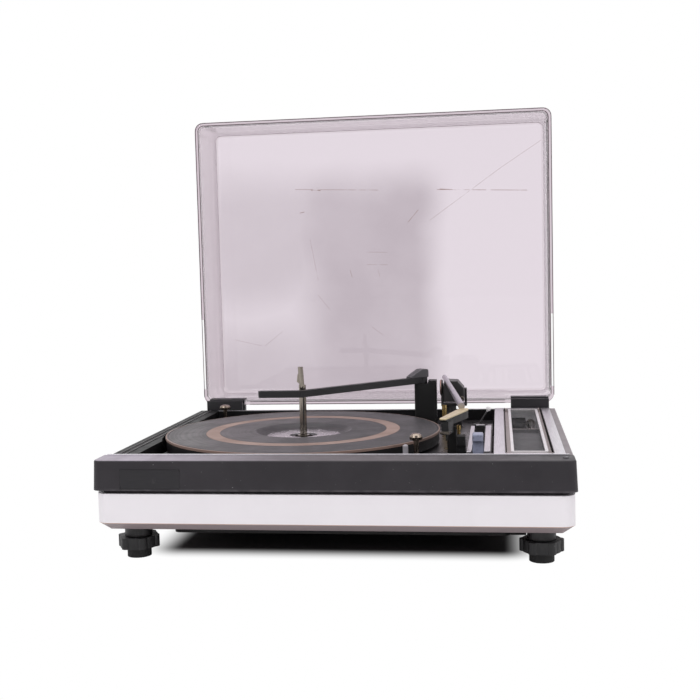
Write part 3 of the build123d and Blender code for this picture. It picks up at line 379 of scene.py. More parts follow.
def smokeAcrylic(name):
    # clear smoky acrylic: lilac-grey, a painted reflection as a darker cloud in the middle, hairline
    # scratches
    look = {"reflectionRight": (0.088, 0.044), "reflectionTop": (0.380, 0.325), "reflectionLeft": (-0.15, -0.05),
            "wingLow": (0.15, 0.25), "wing": 0.62, "cornerTop": (0.235, 0.11), "corner": 0.9,
            "panelBack": (0.4225, 0.4235), "rimAlpha": 0.78,
            "markEdge": 800, "markCore": 2200, "markGain": 1.35}
    f = Finish(name, Roughness=0.03, IOR=1.34, Transmission_Weight=1.0, Specular_IOR_Level=0.5)
    along, deep, up = f.add("ShaderNodeSeparateXYZ", Vector=f.place).outputs
    wander = f.calc("MULTIPLY", f.calc("SUBTRACT", f.noise(9.0, 2, 0.4), 0.5), 0.05)
    x = f.calc("ADD", along, wander)
    z = f.calc("ADD", up, wander)
    # painted reflection: a darker cloud, a column with a wing and a corner to its left, stands in for the
    # room reflected in the panel
    leftOf = f.calc("MULTIPLY", f.span(x, *look["reflectionRight"]), f.span(z, *look["reflectionTop"]))
    column = f.calc("MULTIPLY", f.span(x, *look["reflectionLeft"]), leftOf)
    wing = f.calc("MULTIPLY", f.calc("MULTIPLY", f.span(z, *look["wingLow"]), leftOf), look["wing"])
    corner = f.calc("MULTIPLY", f.calc("MULTIPLY", f.span(z, *look["cornerTop"]), leftOf), look["corner"])
    dark = f.calc("MAXIMUM", column, f.calc("MAXIMUM", wing, corner))
    dark = f.calc("MULTIPLY", dark, f.span(f.noise(14.0, 3, 0.5), 0.25, 0.7, 0.82, 1.0))
    shade = f.mix(dark, tone(229, 219, 227), tone(193, 182, 190))
    panel = f.span(deep, *(frontY + back for back in look["panelBack"]))
    shade = f.mix(panel, tone(200, 184, 194), shade)
    f.feed(f.shader.inputs["Alpha"], f.span(panel, 0.0, 1.0, look["rimAlpha"], 1.0))
    scratches = None
    for mark in coverMarks.values():
        start = seenAt(*mark["start"], coverPanelFront)
        run = seenAt(*mark["end"], coverPanelFront) - start
        step = f.vector("MULTIPLY", f.vector("SUBTRACT", f.place, tuple(start)), (1, 0, 1))
        share = f.calc("DIVIDE", f.vector("DOT_PRODUCT", step, tuple(run), "Value"), run.length_squared, True)
        across = f.add("ShaderNodeVectorMath", {"operation": "SCALE"})
        f.feed(across.inputs[0], tuple(run))
        f.feed(across.inputs["Scale"], share)
        miss = f.vector("LENGTH", f.vector("SUBTRACT", step, across.outputs[0]), output="Value")
        depth = min(1.0, mark["strength"] * look["markGain"])
        line = f.span(miss, mark["width"] / look["markEdge"], mark["width"] / look["markCore"], 0.0, depth)
        scratches = line if scratches is None else f.calc("MAXIMUM", scratches, line)
    scratches = f.calc("MULTIPLY", scratches, f.span(f.noise(120.0, 3), 0.34, 0.5))
    f.colour(f.mix(scratches, shade, tone(146, 118, 112)))
    hairs = f.span(f.noise(60.0, 4, 0.7, (1, 1, 6), 1.5), 0.66, 0.72, 0.0, 0.08)
    f.rough(f.calc("ADD", f.calc("MULTIPLY", scratches, 0.4), f.calc("ADD", hairs, 0.025)))
    f.bump(f.noise(6.0, 2), 0.0004, 0.12)
    return f


def windowAcrylic(name):
    # thin smoked window over the pocket: mostly clear, faintly hazed
    f = Finish(name, IOR=1.15, Specular_IOR_Level=0.05)
    haze = f.span(f.noise(30.0, 3), 0.3, 0.7)
    f.colour(f.mix(haze, tone(44, 47, 45), tone(62, 65, 63)))
    f.feed(f.shader.inputs["Alpha"], f.span(haze, 0.0, 1.0, 0.14, 0.24))
    f.rough(f.span(f.noise(160.0, 3), 0.3, 0.7, 0.04, 0.14))
    f.bump(f.noise(9.0, 2), 0.0002, 0.1)
    return f


def trayPlastic(name):
    # grey tray, its top rim a paler pinkish grey each side of the window
    look = {"rearFrom": (0.199, 0.201), "rim": (0.0852, 0.0855)}
    f = mouldedPlastic(name, tone(110, 108, 112), 0.5, 700.0, 0.00004, 0.06, 0.3)
    shade = f.shader.inputs["Base Color"].links[0].from_socket
    rear = f.span(f.axis("Y"), *(frontY + back for back in look["rearFrom"]))
    shade = f.mix(rear, shade, tone(186, 183, 187))
    rim = f.span(f.axis("Z"), *look["rim"])
    f.colour(f.mix(rim, shade, tone(172, 160, 160)))
    return f


def cueFinish(name):
    # dark wire lever with a white ball on its end
    look = {"ballCentre": (130, 270, 96), "ball": (0.0034, 0.0030)}
    f = mouldedPlastic(name, tone(44, 42, 44), 0.3, 700.0, 0.00001, 0.1)
    wire = f.shader.inputs["Base Color"].links[0].from_socket
    centre = tuple(at(*look["ballCentre"]))
    away = f.vector("LENGTH", f.vector("SUBTRACT", f.place, centre), output="Value")
    f.colour(f.mix(f.span(away, *look["ball"]), wire, tone(240, 236, 238)))
    return f


def leverPlastic(name):
    # blue-grey lever, worn darker in patches
    f = mouldedPlastic(name, tone(150, 154, 178), 0.38, 800.0, 0.00003, 0.1)
    shade = f.shader.inputs["Base Color"].links[0].from_socket
    worn = f.span(f.noise(210.0, 4, 0.65), 0.52, 0.66, 0.0, 0.6)
    f.colour(f.mix(worn, shade, tone(112, 112, 132)))
    return f


finishes = {
    "silver_white_shell": shellPaint("satinShell"),
    "charcoal_band": bandPlastic("charcoalBand"),
    "brushed_trim": brushedAluminium("deckTrim", tone(227, 224, 229)),
    "badge_metal": brushedAluminium("badgePlate", tone(44, 42, 46), (0.02, 1, 1), 0.5, 0.3),
    "pan_steel": paintedSteel("panSteel", tone(32, 30, 31), 0.5),
    "deck_steel": paintedSteel("unitPlateSteel", tone(50, 47, 50), 0.3, 0.5),
    "spring_steel": brushedAluminium("springSteel", tone(150, 148, 150), (1, 1, 0.1), 0.35),
    "hinge_plastic": mouldedPlastic("hingePlastic", tone(42, 40, 44), 0.45, 900.0, 0.00003, 0.08, 0.3),
    "smoke_acrylic": smokeAcrylic("coverAcrylic"),
    "tray_plastic": trayPlastic("trayPlastic"),
    "black_plastic": mouldedPlastic("blackPlastic", tone(27, 26, 28), 0.36, 800.0, 0.00003, 0.15, 0.5),
    "nickel": platedMetal("nickelPlate", tone(154, 145, 136), 0.14),
    "window_smoke": windowAcrylic("trayWindow"),
    "frame_silver": brushedAluminium("lidFrame", tone(238, 233, 236), (1, 0.05, 1), 0.36, 0.35),
    "platter_alloy": platterCasting("platterCasting"),
    "mat_rubber": matRubber("matRubber"),
    "ring_tan": ringBoard("ringTan"),
    "hub_chrome": turnedMetal("hubChrome", tone(226, 222, 226), platterCentre, 0.2),
    "bearing_brass": platedMetal("brassSleeve", tone(196, 168, 112), 0.24, 0.5),
    "motor_case": paintedSteel("motorCase", tone(112, 110, 112), 0.4),
    "pulley_brass": platedMetal("brassPulley", tone(204, 176, 120), 0.2),
    "idler_rubber": mouldedPlastic("idlerRubber", tone(38, 37, 38), 0.7),
    "gear_nylon": mouldedPlastic("gearNylon", tone(222, 216, 204), 0.5),
    "arm_black": mouldedPlastic("towerBlack", tone(13, 12, 14), 0.5, 700.0, 0.00003, 0.12, 0.05),
    "cap_grey": mouldedPlastic("capGrey", tone(176, 171, 178), 0.34),
    "arm_tube_grey": platedMetal("armTubeGrey", tone(204, 200, 208), 0.3, 0.1),
    "weight_grey": paintedSteel("weightGrey", tone(46, 44, 46), 0.38, 0.25),
    "shell_grey": mouldedPlastic("headshellGrey", tone(26, 24, 25), 0.45, 900.0, 0.00002, 0.1, 0.15),
    "plate_beige": brushedAluminium("headshellPlate", tone(226, 208, 172), (1, 0.05, 1), 0.36, 0.7),
    "lever_blue_grey": leverPlastic("leverBlueGrey"),
    "foot_plastic": mouldedPlastic("footPlastic", tone(34, 33, 35), 0.42, 800.0, 0.00003, 0.12, 0.4),
    "foot_rubber": mouldedPlastic("footRubber", tone(34, 33, 34), 0.66, 600.0, 0.00005, 0.12, 0.3),
    "socket_metal": brushedAluminium("socketMetal", tone(176, 174, 176), (0.05, 1, 1), 0.36),
    "gland_rubber": mouldedPlastic("glandRubber", tone(36, 35, 36), 0.6),
}
armGrey = mouldedPlastic("overarmGrey", tone(36, 34, 37), 0.42, 800.0, 0.00003, 0.1, 0.3)
agedNickel = platedMetal("agedNickel", tone(158, 144, 132), 0.22, 0.6)
# near-black for the accessory box, also used as the painted shade of slots and gaps
blackAndGapShade = mouldedPlastic("blackAndGapShade", tone(10, 10, 11), 0.85, level=0.05)
capDark = mouldedPlastic("overarmCapGrey", tone(74, 71, 76), 0.34)
finishFor = {
    "overarm": armGrey,
    "overarm_cap": capDark,
    "accessory_box": blackAndGapShade,
    "cue_lever": cueFinish("cueLever"),
    "transit_screws": agedNickel,
}

for node, piece in nodes.items():
    chosen = finishFor.get(node, finishes[slotOf[node]]).material
    piece.data.materials.clear()
    piece.data.materials.append(chosen)
print("finishes made:", len(finishes) + len(finishFor))

# rounded edges on the moulded and machined pieces, by width in metres
edgeLook = {"weld": 0.000002, "segments": 2, "angle": 38}
edgeWidths = {
    0.0006: ["top_frame", "plinth_shell", "overarm_tower", "counterweight", "hinge_base_left",
             "hinge_base_right", "function_lever"],
    0.0004: ["overarm", "headshell", "hinge_leaf_left", "hinge_leaf_right", "arm_rest", "speed_knob",
             "tray_lid_frame", "tonearm_turret", "foot_wheel_front_left", "foot_wheel_front_right",
             "foot_wheel_rear_left", "foot_wheel_rear_right", "motor_body"],
    0.00025: ["deck_trim", "badge_plate", "headshell_plate", "unit_plate", "control_plate", "cartridge",
              "accessory_box", "platter_mat", "socket_panel"],
}


def softenEdges(piece, width):
    weld = piece.modifiers.new("weld", "WELD")
    weld.merge_threshold = edgeLook["weld"]
    bevel = piece.modifiers.new("softEdge", "BEVEL")
    bevel.width = width
    bevel.segments = edgeLook["segments"]
    bevel.limit_method = "ANGLE"
    bevel.angle_limit = math.radians(edgeLook["angle"])
    bevel.harden_normals = False
    bevel.use_clamp_overlap = True
    normals = piece.modifiers.new("weighted", "WEIGHTED_NORMAL")
    normals.mode = "FACE_AREA_WITH_ANGLE"
    normals.keep_sharp = False


for width, names in edgeWidths.items():
    for node in names:
        softenEdges(nodes[node], width)
print("edges softened")


def place(name, shape, material, body, sharp=32, bevel=0.0):
    # makes a piece that rides on a body; sharp is an angle in degrees, bevel a width in millimetres
    mesh = bpy.data.meshes.new(name)
    bmesh.ops.recalc_face_normals(shape, faces=shape.faces)
    shape.to_mesh(mesh)
    shape.free()
    mesh.polygons.foreach_set("use_smooth", [True] * len(mesh.polygons))
    mesh.set_sharp_from_angle(angle=math.radians(sharp))
    mesh.materials.append(material)
    piece = bpy.data.objects.new(name, mesh)
    bpy.context.scene.collection.objects.link(piece)
    if bevel:
        edge = piece.modifiers.new("softEdge", "BEVEL")
        edge.width = bevel / 1000
        edge.segments = edgeLook["segments"]
        edge.limit_method = "ANGLE"
    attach(piece, body)
    return piece


def spin(shape, centre, profile, axis="Z", sides=64, knurl=0.0):
    # adds a turned form: (radius, place along the axis) in millimetres, closed at both ends
    rings = []
    for radius, along in profile:
        ring = []
        for side in range(sides):
            turn = 2 * math.pi * side / sides
            wide = radius * (1 - knurl * (side % 2)) / 1000
            a, b = wide * math.cos(turn), wide * math.sin(turn)
            offset = (a, b, along / 1000) if axis == "Z" else (along / 1000, a, b)
            ring.append(shape.verts.new(Vector(centre) + Vector(offset)))
        rings.append(ring)
    for lower, upper in zip(rings, rings[1:]):
        for side in range(sides):
            after = (side + 1) % sides
            shape.faces.new((lower[side], lower[after], upper[after], upper[side]))
    shape.faces.new(rings[0][::-1])
    shape.faces.new(rings[-1])


def tapered(shape, stations):
    # adds a bar through stations of four corners each
    corners = [[shape.verts.new(Vector(c)) for c in station] for station in stations]
    for first, then in zip(corners, corners[1:]):
        for k in range(4):
            after = (k + 1) % 4
            shape.faces.new((first[k], first[after], then[after], then[k]))
    shape.faces.new(corners[0][::-1])
    shape.faces.new(corners[-1])


def block(shape, x0, x1, front0, front1, z0, z1):
    # adds a box between these limits in millimetres
    tapered(shape, [[at(x0, y, z0), at(x1, y, z0), at(x1, y, z1), at(x0, y, z1)] for y in (front0, front1)])


def makeTransitScrews():
    # tall screws with mushroom heads, knurled round the rim
    look = {"foot": 61.6, "shaft": 2.3, "neck": 3.4, "knurl": 0.05,
            "rear": {"x": -168.7, "front": 318.0, "low": 91.2, "top": 96.3, "radius": 6.1},
            "near": {"x": 68.8, "front": 70.0, "low": 96.2, "top": 102.3, "radius": 5.7}}
    shape = bmesh.new()
    for end in ("rear", "near"):
        screw = look[end]
        spot = at(screw["x"], screw["front"], 0)
        low, radius = screw["low"], screw["radius"]
        tall = screw["top"] - low
        rim = low + 0.45 * tall
        shaft = ((look["shaft"], look["foot"]), (look["shaft"], low - 1.2), (look["neck"], low - 0.2))
        head = ((look["neck"], low - 0.2), (radius - 0.5, low + 0.2), (radius, low + 0.9), (radius, rim))
        crown = ((radius * 0.97, rim), (radius * 0.86, low + 0.72 * tall), (radius * 0.55, low + 0.93 * tall),
                 (radius * 0.1, screw["top"]))
        spin(shape, spot, shaft, sides=32)
        spin(shape, spot, head, sides=72, knurl=look["knurl"])
        spin(shape, spot, crown, sides=48)
    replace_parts(place("transitScrewPair", shape, agedNickel.material, "base"), "transit_screws")


def makeSpindleSlot():
    # painted shade: a black strip stands in for the shaded slot that runs down the spindle for its pusher
    look = {"low": 95.0, "high": 133.5, "half": 0.55, "right": 1.1, "near": 3.3, "proud": 0.12, "deep": 0.6}
    shape = bmesh.new()
    x = platterCentre[0] * 1000 + look["right"]
    front = (platterCentre[1] - frontY) * 1000 - look["near"]
    block(shape, x - look["half"], x + look["half"], front - look["proud"], front + look["deep"],
          look["low"], look["high"])
    place("spindleSlotShade", shape, finishes["black_plastic"].material, "base", bevel=0.1)


def makeWeightRing():
    # turned collar on the left cheek, with a pale copper ring round it that paints the highlight on its rim
    look = {"centre": (0, 272.0, 119.0), "sides": 72,
            "collar": ((5.5, 79.2), (7.4, 79.4), (8.4, 80.2), (8.6, 81.4), (7.6, 82.4)),
            "ring": ((7.9, 79.7), (8.55, 80.1), (8.7, 80.7), (8.3, 81.1))}
    dark, pale = bmesh.new(), bmesh.new()
    spot = at(*look["centre"])
    spin(dark, spot, look["collar"], "X", look["sides"])
    spin(pale, spot, look["ring"], "X", look["sides"])
    place("turretCollar", dark, finishes["weight_grey"].material, "tonearm_turn")
    place("turretRimHighlight", pale, copperRimHighlight.material, "tonearm_turn")


def acrossRun(start, end):
    # stations across a run seen from above: a distance along it, half a width, and two heights
    run = (end - start).normalized()
    side = Vector((-run.y, run.x))

    def cut(along, half, low, high):
        middle = start + run * along
        left, right = middle - side * half, middle + side * half
        return [at(left.x, left.y, low), at(right.x, right.y, low),
                at(right.x, right.y, high), at(left.x, left.y, high)]

    return cut


def makeHeadshell():
    # slim shell, thin at its nose and deeper behind it, with a bare top plate
    # each station: distance from the rear, half width, underside
    look = {"rear": (109.5, 151.5), "nose": (91.4, 82.6),
            "bodyTop": 111.5, "plateTop": 113.0, "plateOver": 0.25,
            "body": ((0.0, 1.8, 106.0), (1.5, 3.2, 105.0), (5.0, 4.4, 104.5), (18.0, 4.4, 104.5),
                     (49.0, 3.6, 105.0), (60.0, 3.2, 108.4), (70.0, 2.9, 110.6), (71.2, 2.0, 110.9)),
            "sharp": 40, "bodyBevel": 0.35, "plateBevel": 0.3}
    cut = acrossRun(Vector(look["rear"]), Vector(look["nose"]))
    split = look["bodyTop"]
    body, plate = bmesh.new(), bmesh.new()
    tapered(body, [cut(along, half, low, split) for along, half, low in look["body"]])
    tapered(plate, [cut(along, half + look["plateOver"], split, look["plateTop"])
                    for along, half, low in look["body"]])
    shell = place("headshellBody", body, finishes["shell_grey"].material, "tonearm_body",
                  look["sharp"], look["bodyBevel"])
    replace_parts(shell, "headshell")
    top = place("headshellTop", plate, finishes["plate_beige"].material, "tonearm_body",
                look["sharp"], look["plateBevel"])
    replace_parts(top, "headshell_plate")


def makeControlTrim():
    # bright strips each side of the lever, a black strip painted as the shaded slot behind it, and the bar
    # that ends it
    look = {"under": 0.1, "stripFronts": (76.0, 226.0),
            "leftStrip": (112.6, 116.6), "leftRise": 1.2, "rightStrip": (127.6, 133.2), "rightRise": 1.6,
            "bar": (117.6, 126.4), "barFronts": (232.0, 234.0), "barRise": 1.4,
            "slot": (117.4, 126.8), "slotFronts": (92.0, 230.0), "slotRise": 0.25}
    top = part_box("control_plate")[1].z * 1000
    under = top - look["under"]
    bright, dark = bmesh.new(), bmesh.new()
    for side in ("left", "right"):
        block(bright, *look[side + "Strip"], *look["stripFronts"], under, top + look[side + "Rise"])
    block(bright, *look["bar"], *look["barFronts"], under, top + look["barRise"])
    # painted shade: the black strip stands in for the slot's shaded inside
    block(dark, *look["slot"], *look["slotFronts"], under, top + look["slotRise"])
    place("controlStrips", bright, finishes["brushed_trim"].material, "base", bevel=0.3)
    place("leverSlotShade", dark, blackAndGapShade.material, "base", bevel=0.1)


def makeDish():
    # the mat runs down into the hub dish in one soft curve
    look = {"sides": 128, "thick": 0.4, "sharp": 60,
            "curve": ((48.0, 90.03), (47.2, 89.85), (46.2, 89.4), (44.8, 88.4), (43.0, 87.0), (40.0, 85.4),
                      (36.6, 84.5))}
    shape = bmesh.new()
    centre, sides = Vector(platterCentre), look["sides"]
    underside = [(radius, z - look["thick"]) for radius, z in reversed(look["curve"])]
    rings = []
    for radius, z in list(look["curve"]) + underside:
        ring = []
        for k in range(sides):
            turn = 2 * math.pi * k / sides
            offset = (radius / 1000 * math.cos(turn), radius / 1000 * math.sin(turn), z / 1000 - centre.z)
            ring.append(shape.verts.new(centre + Vector(offset)))
        rings.append(ring)
    for first, then in zip(rings, rings[1:] + rings[:1]):
        for k in range(sides):
            after = (k + 1) % sides
            shape.faces.new((first[k], first[after], then[after], then[k]))
    place("dishCurve", shape, finishes["platter_alloy"].material, "platter_body", look["sharp"])


def makeTurret():
    # slimmer yoke and block than the plain ones: two cheeks, a column and the chamfered weight between them
    look = {"pivot": (91, 272, 0),
            "column": ((4.0, 76.5), (4.0, 84.4), (6.2, 84.6), (6.2, 92.0), (5.2, 93.0), (5.2, 100.2)),
            "bridge": (80.5, 107.6, 265.5, 278.5, 100.0, 102.6),
            "leftCheek": (80.5, 83.0, 266.5, 277.5, 102.0, 121.0),
            "rightCheek": (105.2, 107.6, 268.5, 275.5, 102.0, 118.5),
            "weightFronts": (261.0, 285.0),
            "weight": ((83.4, 104.8), (103.8, 104.8), (104.8, 106.0), (104.8, 119.0), (98.2, 126.6),
                       (87.4, 127.2), (83.4, 124.6)),
            "yokeBevel": 0.4, "weightBevel": 0.8}
    yoke, weight = bmesh.new(), bmesh.new()
    spin(yoke, at(*look["pivot"]), look["column"], sides=48)
    for part in ("bridge", "leftCheek", "rightCheek"):
        block(yoke, *look[part])
    ends = [[weight.verts.new(at(x, front, z)) for x, z in look["weight"]] for front in look["weightFronts"]]
    for k in range(len(look["weight"])):
        after = (k + 1) % len(look["weight"])
        weight.faces.new((ends[0][k], ends[0][after], ends[1][after], ends[1][k]))
    weight.faces.new(ends[0])
    weight.faces.new(ends[1][::-1])
    grey = finishes["weight_grey"].material
    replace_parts(place("yoke", yoke, grey, "tonearm_turn", bevel=look["yokeBevel"]), "tonearm_turret")
    slab = place("weightBlock", weight, grey, "tonearm_body", bevel=look["weightBevel"])
    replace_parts(slab, "counterweight")


def makeCap():
    # wedge that clips over the overarm's pivot; each station: distance from the rod, half width, top
    look = {"rod": (60.5, 274.0), "bend": (-50.0, 156.0), "underside": 130.3, "sharp": 40, "bevel": 0.5,
            "stations": ((-6.4, 3.2, 136.4), (-4.6, 4.4, 138.4), (-1.0, 5.0, 139.2), (4.0, 4.9, 139.0),
                         (12.0, 4.4, 135.6), (19.5, 4.0, 132.0))}
    cut = acrossRun(Vector(look["rod"]), Vector(look["bend"]))
    shape = bmesh.new()
    tapered(shape, [cut(along, half, look["underside"], top) for along, half, top in look["stations"]])
    clip = place("overarmClip", shape, capDark.material, "overarm_body", look["sharp"], look["bevel"])
    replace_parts(clip, "overarm_cap")


def makeTrayGapShade():
    # painted shade: black strips each side of the pocket lid stand in for the shaded gaps
    look = {"leftIn": 0.9, "leftWide": 0.8, "rightIn": 1.6, "rightWide": 1.4, "fronts": (52.0, 328.0),
            "deep": 0.6, "proud": 0.12}
    shape = bmesh.new()
    low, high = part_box("accessory_tray")
    top = high.z * 1000
    for x, wide in ((low.x * 1000 + look["leftIn"], look["leftWide"]),
                    (high.x * 1000 - look["rightIn"], look["rightWide"])):
        block(shape, x - wide / 2, x + wide / 2, *look["fronts"], top - look["deep"], top + look["proud"])
    place("trayGapShade", shape, blackAndGapShade.material, "base", bevel=0.1)


def makeCoverRimReflections():
    # painted reflection: fine dark lines along the cover's rim edges, standing in for the room seen in them
    # each loop: half width, lower edge, top, corner radius, distance back
    look = {"radius": 0.4, "sides": 6, "cornerSteps": 6, "betweenHinges": 148.0,
            "outerRim": (202.55, 92.0, 419.2, 8.6, 353.4),
            "innerRim": (199.4, 94.9, 416.2, 6.4, 353.4),
            "panelEdge": (196.6, 98.4, 412.6, 7.0, 419.5)}
    shape = bmesh.new()
    sides, steps, reach = look["sides"], look["cornerSteps"], look["betweenHinges"]
    for loop in ("outerRim", "innerRim", "panelEdge"):
        half, low, high, corner, front = look[loop]
        # up one side, over the top and down the other, then the lower edge between the hinges
        around = [(half, low + corner, 1, 0)]
        for cx, begin in ((half - corner, 0), (corner - half, 90)):
            for step in range(steps + 1):
                turn = math.radians(begin + step * 90 / steps)
                around.append((cx + corner * math.cos(turn), high - corner + corner * math.sin(turn),
                               math.cos(turn), math.sin(turn)))
        around.append((-half, low + corner, -1, 0))
        for path in (around, [(-reach, low, 0, -1), (reach, low, 0, -1)]):
            rings = []
            for x, z, outX, outZ in path:
                ring = []
                for k in range(sides):
                    turn = 2 * math.pi * k / sides
                    out, back = look["radius"] * math.cos(turn), look["radius"] * math.sin(turn)
                    ring.append(shape.verts.new(at(x + outX * out, front + back, z + outZ * out)))
                rings.append(ring)
            for first, then in zip(rings, rings[1:]):
                for k in range(sides):
                    after = (k + 1) % sides
                    shape.faces.new((first[k], first[after], then[after], then[k]))
            shape.faces.new(rings[0][::-1])
            shape.faces.new(rings[-1])
    lines = mouldedPlastic("coverRimReflection", tone(92, 68, 76), 0.4, level=0.2)
    lines.feed(lines.shader.inputs["Alpha"], lines.span(lines.noise(35.0, 3), 0.3, 0.6, 0.7, 1.0))
    place("coverRimReflections", shape, lines.material, "lid")


def makeDeckDetails():
    # steps along the left strip, the pad on the rail, the pan's flange and the brass stop under the headshell
    look = {"stepX": (-195.6, -189.8), "stepHalf": 0.5,
            "stepFronts": (38.0, 334.0), "stepHeights": (86.9, 87.7),
            "padCentre": (194.3, 13.4, 0), "pad": ((2.6, 90.3), (2.6, 90.9), (2.1, 91.4), (0.4, 91.6)),
            "flange": (149.5, 163.0, 58.0, 302.0, 15.2, 17.0),
            "stopCentre": (104.0, 131.0, 0),
            "stop": ((1.4, 75.4), (1.4, 96.0), (1.9, 96.2), (1.9, 99.6), (0.5, 100.2))}
    ribs, pad, flange, stop = bmesh.new(), bmesh.new(), bmesh.new(), bmesh.new()
    for x in look["stepX"]:
        block(ribs, x - look["stepHalf"], x + look["stepHalf"], *look["stepFronts"], *look["stepHeights"])
    spin(pad, at(*look["padCentre"]), look["pad"], sides=40)
    block(flange, *look["flange"])
    spin(stop, at(*look["stopCentre"]), look["stop"], sides=32)
    place("deckSteps", ribs, stepGrey.material, "base", bevel=0.2)
    place("railPad", pad, capDark.material, "base")
    place("panFlange", flange, finishes["pan_steel"].material, "base", bevel=0.3)
    place("brassStop", stop, finishes["bearing_brass"].material, "base")


# pale copper that stands in for the highlight on the weight's left rim
copperRimHighlight = platedMetal("copperRimHighlight", tone(196, 158, 150), 0.3)
stepGrey = mouldedPlastic("stepGrey", tone(78, 75, 78), 0.4)
makeTransitScrews()
makeSpindleSlot()
makeWeightRing()
makeHeadshell()
makeControlTrim()
makeDeckDetails()
makeDish()
makeTurret()
makeCap()
makeTrayGapShade()
makeCoverRimReflections()
print("detail pieces made")

# the room in metres: the floor's colour holds a painted shadow that is dark until shadowIn inside the
# plinth's edges and fades over shadowFade, and the floor turns to plain white for the camera from whiteFrom
# to whiteTo outside that core
stageLook = {"floorSize": 14.0, "floorTone": 0.86, "fibre": 1.02,
             "shadowInX": 0.06, "shadowInY": 0.062, "shadowFade": 0.05, "whiteFrom": 0.002, "whiteTo": 0.04,
             "skyForLight": 0.6, "skyAtHorizon": 0.25, "skyRise": 0.6,
             "shineFrom": -0.7, "shineTo": 0.5, "shineLow": 0.25, "shineHigh": 1.0}
lampLook = {
    "keyLeft": {"stand": (-1.3, -1.7, 1.7), "target": (0, 0, 0.1),
                "width": 1.6, "height": 1.6, "power": 19.0},
    "fillRight": {"stand": (1.7, -1.2, 1.1), "target": (0, 0, 0.1),
                  "width": 1.4, "height": 1.4, "power": 9.5},
    "overhead": {"stand": (0.0, 0.2, 2.2), "target": (0, 0, 0.0),
                 "width": 2.4, "height": 2.0, "power": 15.0},
}


def makeFloor():
    # white paper that shows as white away from the plinth, with a painted shadow darkening its colour under
    # it
    half = stageLook["floorSize"] / 2
    mesh = bpy.data.meshes.new("floor")
    corners = [(-half, -half, 0), (half, -half, 0), (half, half, 0), (-half, half, 0)]
    mesh.from_pydata(corners, [], [(0, 1, 2, 3)])
    floor = bpy.data.objects.new("floor", mesh)
    bpy.context.scene.collection.objects.link(floor)
    f = Finish("floorPaper", Specular_IOR_Level=0.1)
    low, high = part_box("plinth_shell")
    middle, reach = (low + high) / 2, (high - low) / 2
    core = (reach.x - stageLook["shadowInX"], reach.y - stageLook["shadowInY"], 0)
    off = f.vector("ABSOLUTE", f.vector("SUBTRACT", f.place, (middle.x, middle.y, 0)))
    off = f.vector("MAXIMUM", f.vector("SUBTRACT", off, core), (0, 0, 0))
    off = f.vector("LENGTH", off, output="Value")
    level = stageLook["floorTone"]
    paler = level * stageLook["fibre"]
    fibre = f.mix(f.span(f.noise(40.0, 3), 0.3, 0.7), (level, level, level, 1), (paler, paler, paler, 1))
    # painted shadow: the floor's colour is darkened under the plinth
    f.colour(f.mix(f.span(off, 0.0, stageLook["shadowFade"]), tone(80, 76, 78), fibre))
    f.rough(0.8)
    white = f.add("ShaderNodeEmission", Color=(1, 1, 1, 1), Strength=1.0)
    path = f.add("ShaderNodeLightPath")
    seen = f.calc("MAXIMUM", path.outputs["Is Camera Ray"], path.outputs["Is Transmission Ray"])
    share = f.calc("MULTIPLY", seen, f.span(off, stageLook["whiteFrom"], stageLook["whiteTo"]))
    blend = f.add("ShaderNodeMixShader")
    f.feed(blend.inputs[0], share)
    f.feed(blend.inputs[1], f.shader.outputs[0])
    f.feed(blend.inputs[2], white.outputs[0])
    f.feed(f.tree.nodes["Material Output"].inputs["Surface"], blend.outputs[0])
    mesh.materials.append(f.material)


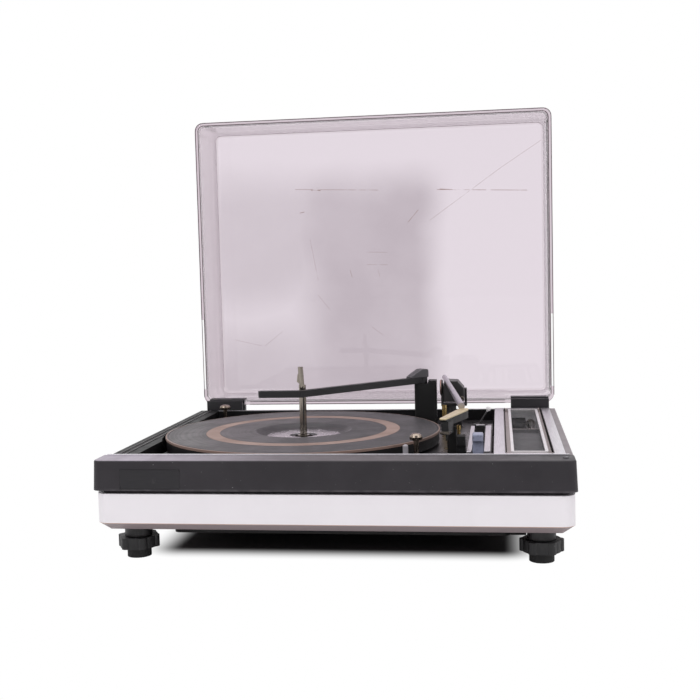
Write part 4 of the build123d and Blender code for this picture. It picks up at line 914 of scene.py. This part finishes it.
def makeSky():
    # white to the camera; as light, dim at the horizon; in reflections, bright behind and darker in front
    world = bpy.data.worlds.new("studio")
    world.use_nodes = True
    bpy.context.scene.world = world
    tree = world.node_tree
    back = tree.nodes["Background"]
    path = tree.nodes.new("ShaderNodeLightPath")
    toward = tree.nodes.new("ShaderNodeSeparateXYZ")
    tree.links.new(tree.nodes.new("ShaderNodeTexCoord").outputs["Generated"], toward.inputs[0])

    def ranged(value, fromMin, fromMax, toMin, toMax):
        made = tree.nodes.new("ShaderNodeMapRange")
        limits = {"From Min": fromMin, "From Max": fromMax, "To Min": toMin, "To Max": toMax}
        for socket, number in limits.items():
            if isinstance(number, bpy.types.NodeSocket):
                tree.links.new(number, made.inputs[socket])
            else:
                made.inputs[socket].default_value = number
        tree.links.new(value, made.inputs["Value"])
        return made.outputs[0]

    full = stageLook["skyForLight"]
    light = ranged(toward.outputs["Z"], 0.0, stageLook["skyRise"], full * stageLook["skyAtHorizon"], full)
    shine = ranged(toward.outputs["Y"], stageLook["shineFrom"], stageLook["shineTo"],
                   stageLook["shineLow"], stageLook["shineHigh"])
    mixed = ranged(path.outputs["Is Glossy Ray"], 0.0, 1.0, light, shine)
    seen = tree.nodes.new("ShaderNodeMath")
    seen.operation = "MAXIMUM"
    tree.links.new(path.outputs["Is Camera Ray"], seen.inputs[0])
    tree.links.new(path.outputs["Is Transmission Ray"], seen.inputs[1])
    level = ranged(seen.outputs[0], 0.0, 1.0, mixed, 1.0)
    back.inputs["Color"].default_value = (1, 1, 1, 1)
    tree.links.new(level, back.inputs["Strength"])


def softbox(name, stand, target, width, height, power):
    lamp = bpy.data.lights.new(name, "AREA")
    lamp.shape = "RECTANGLE"
    lamp.size = width
    lamp.size_y = height
    lamp.energy = power
    holder = bpy.data.objects.new(name, lamp)
    bpy.context.scene.collection.objects.link(holder)
    holder.location = stand
    holder.rotation_mode = "QUATERNION"
    holder.rotation_quaternion = (Vector(stand) - Vector(target)).to_track_quat("Z", "Y")


def makeCamera():
    spot, right, upward, ahead = cameraFrame()
    lens = bpy.data.cameras.new("camera")
    lens.sensor_width = cameraLook["sensor"]
    lens.lens = cameraLook["lens"]
    lens.clip_start = cameraLook["near"]
    lens.clip_end = cameraLook["far"]
    camera = bpy.data.objects.new("camera", lens)
    bpy.context.scene.collection.objects.link(camera)
    camera.matrix_world = Matrix((
        (right.x, upward.x, -ahead.x, spot.x),
        (right.y, upward.y, -ahead.y, spot.y),
        (right.z, upward.z, -ahead.z, spot.z),
        (0, 0, 0, 1)))
    bpy.context.scene.camera = camera


makeFloor()
makeSky()
for name, lamp in lampLook.items():
    softbox(name, **lamp)
makeCamera()
bpy.context.scene.view_settings.view_transform = "Standard"
print("stage ready")
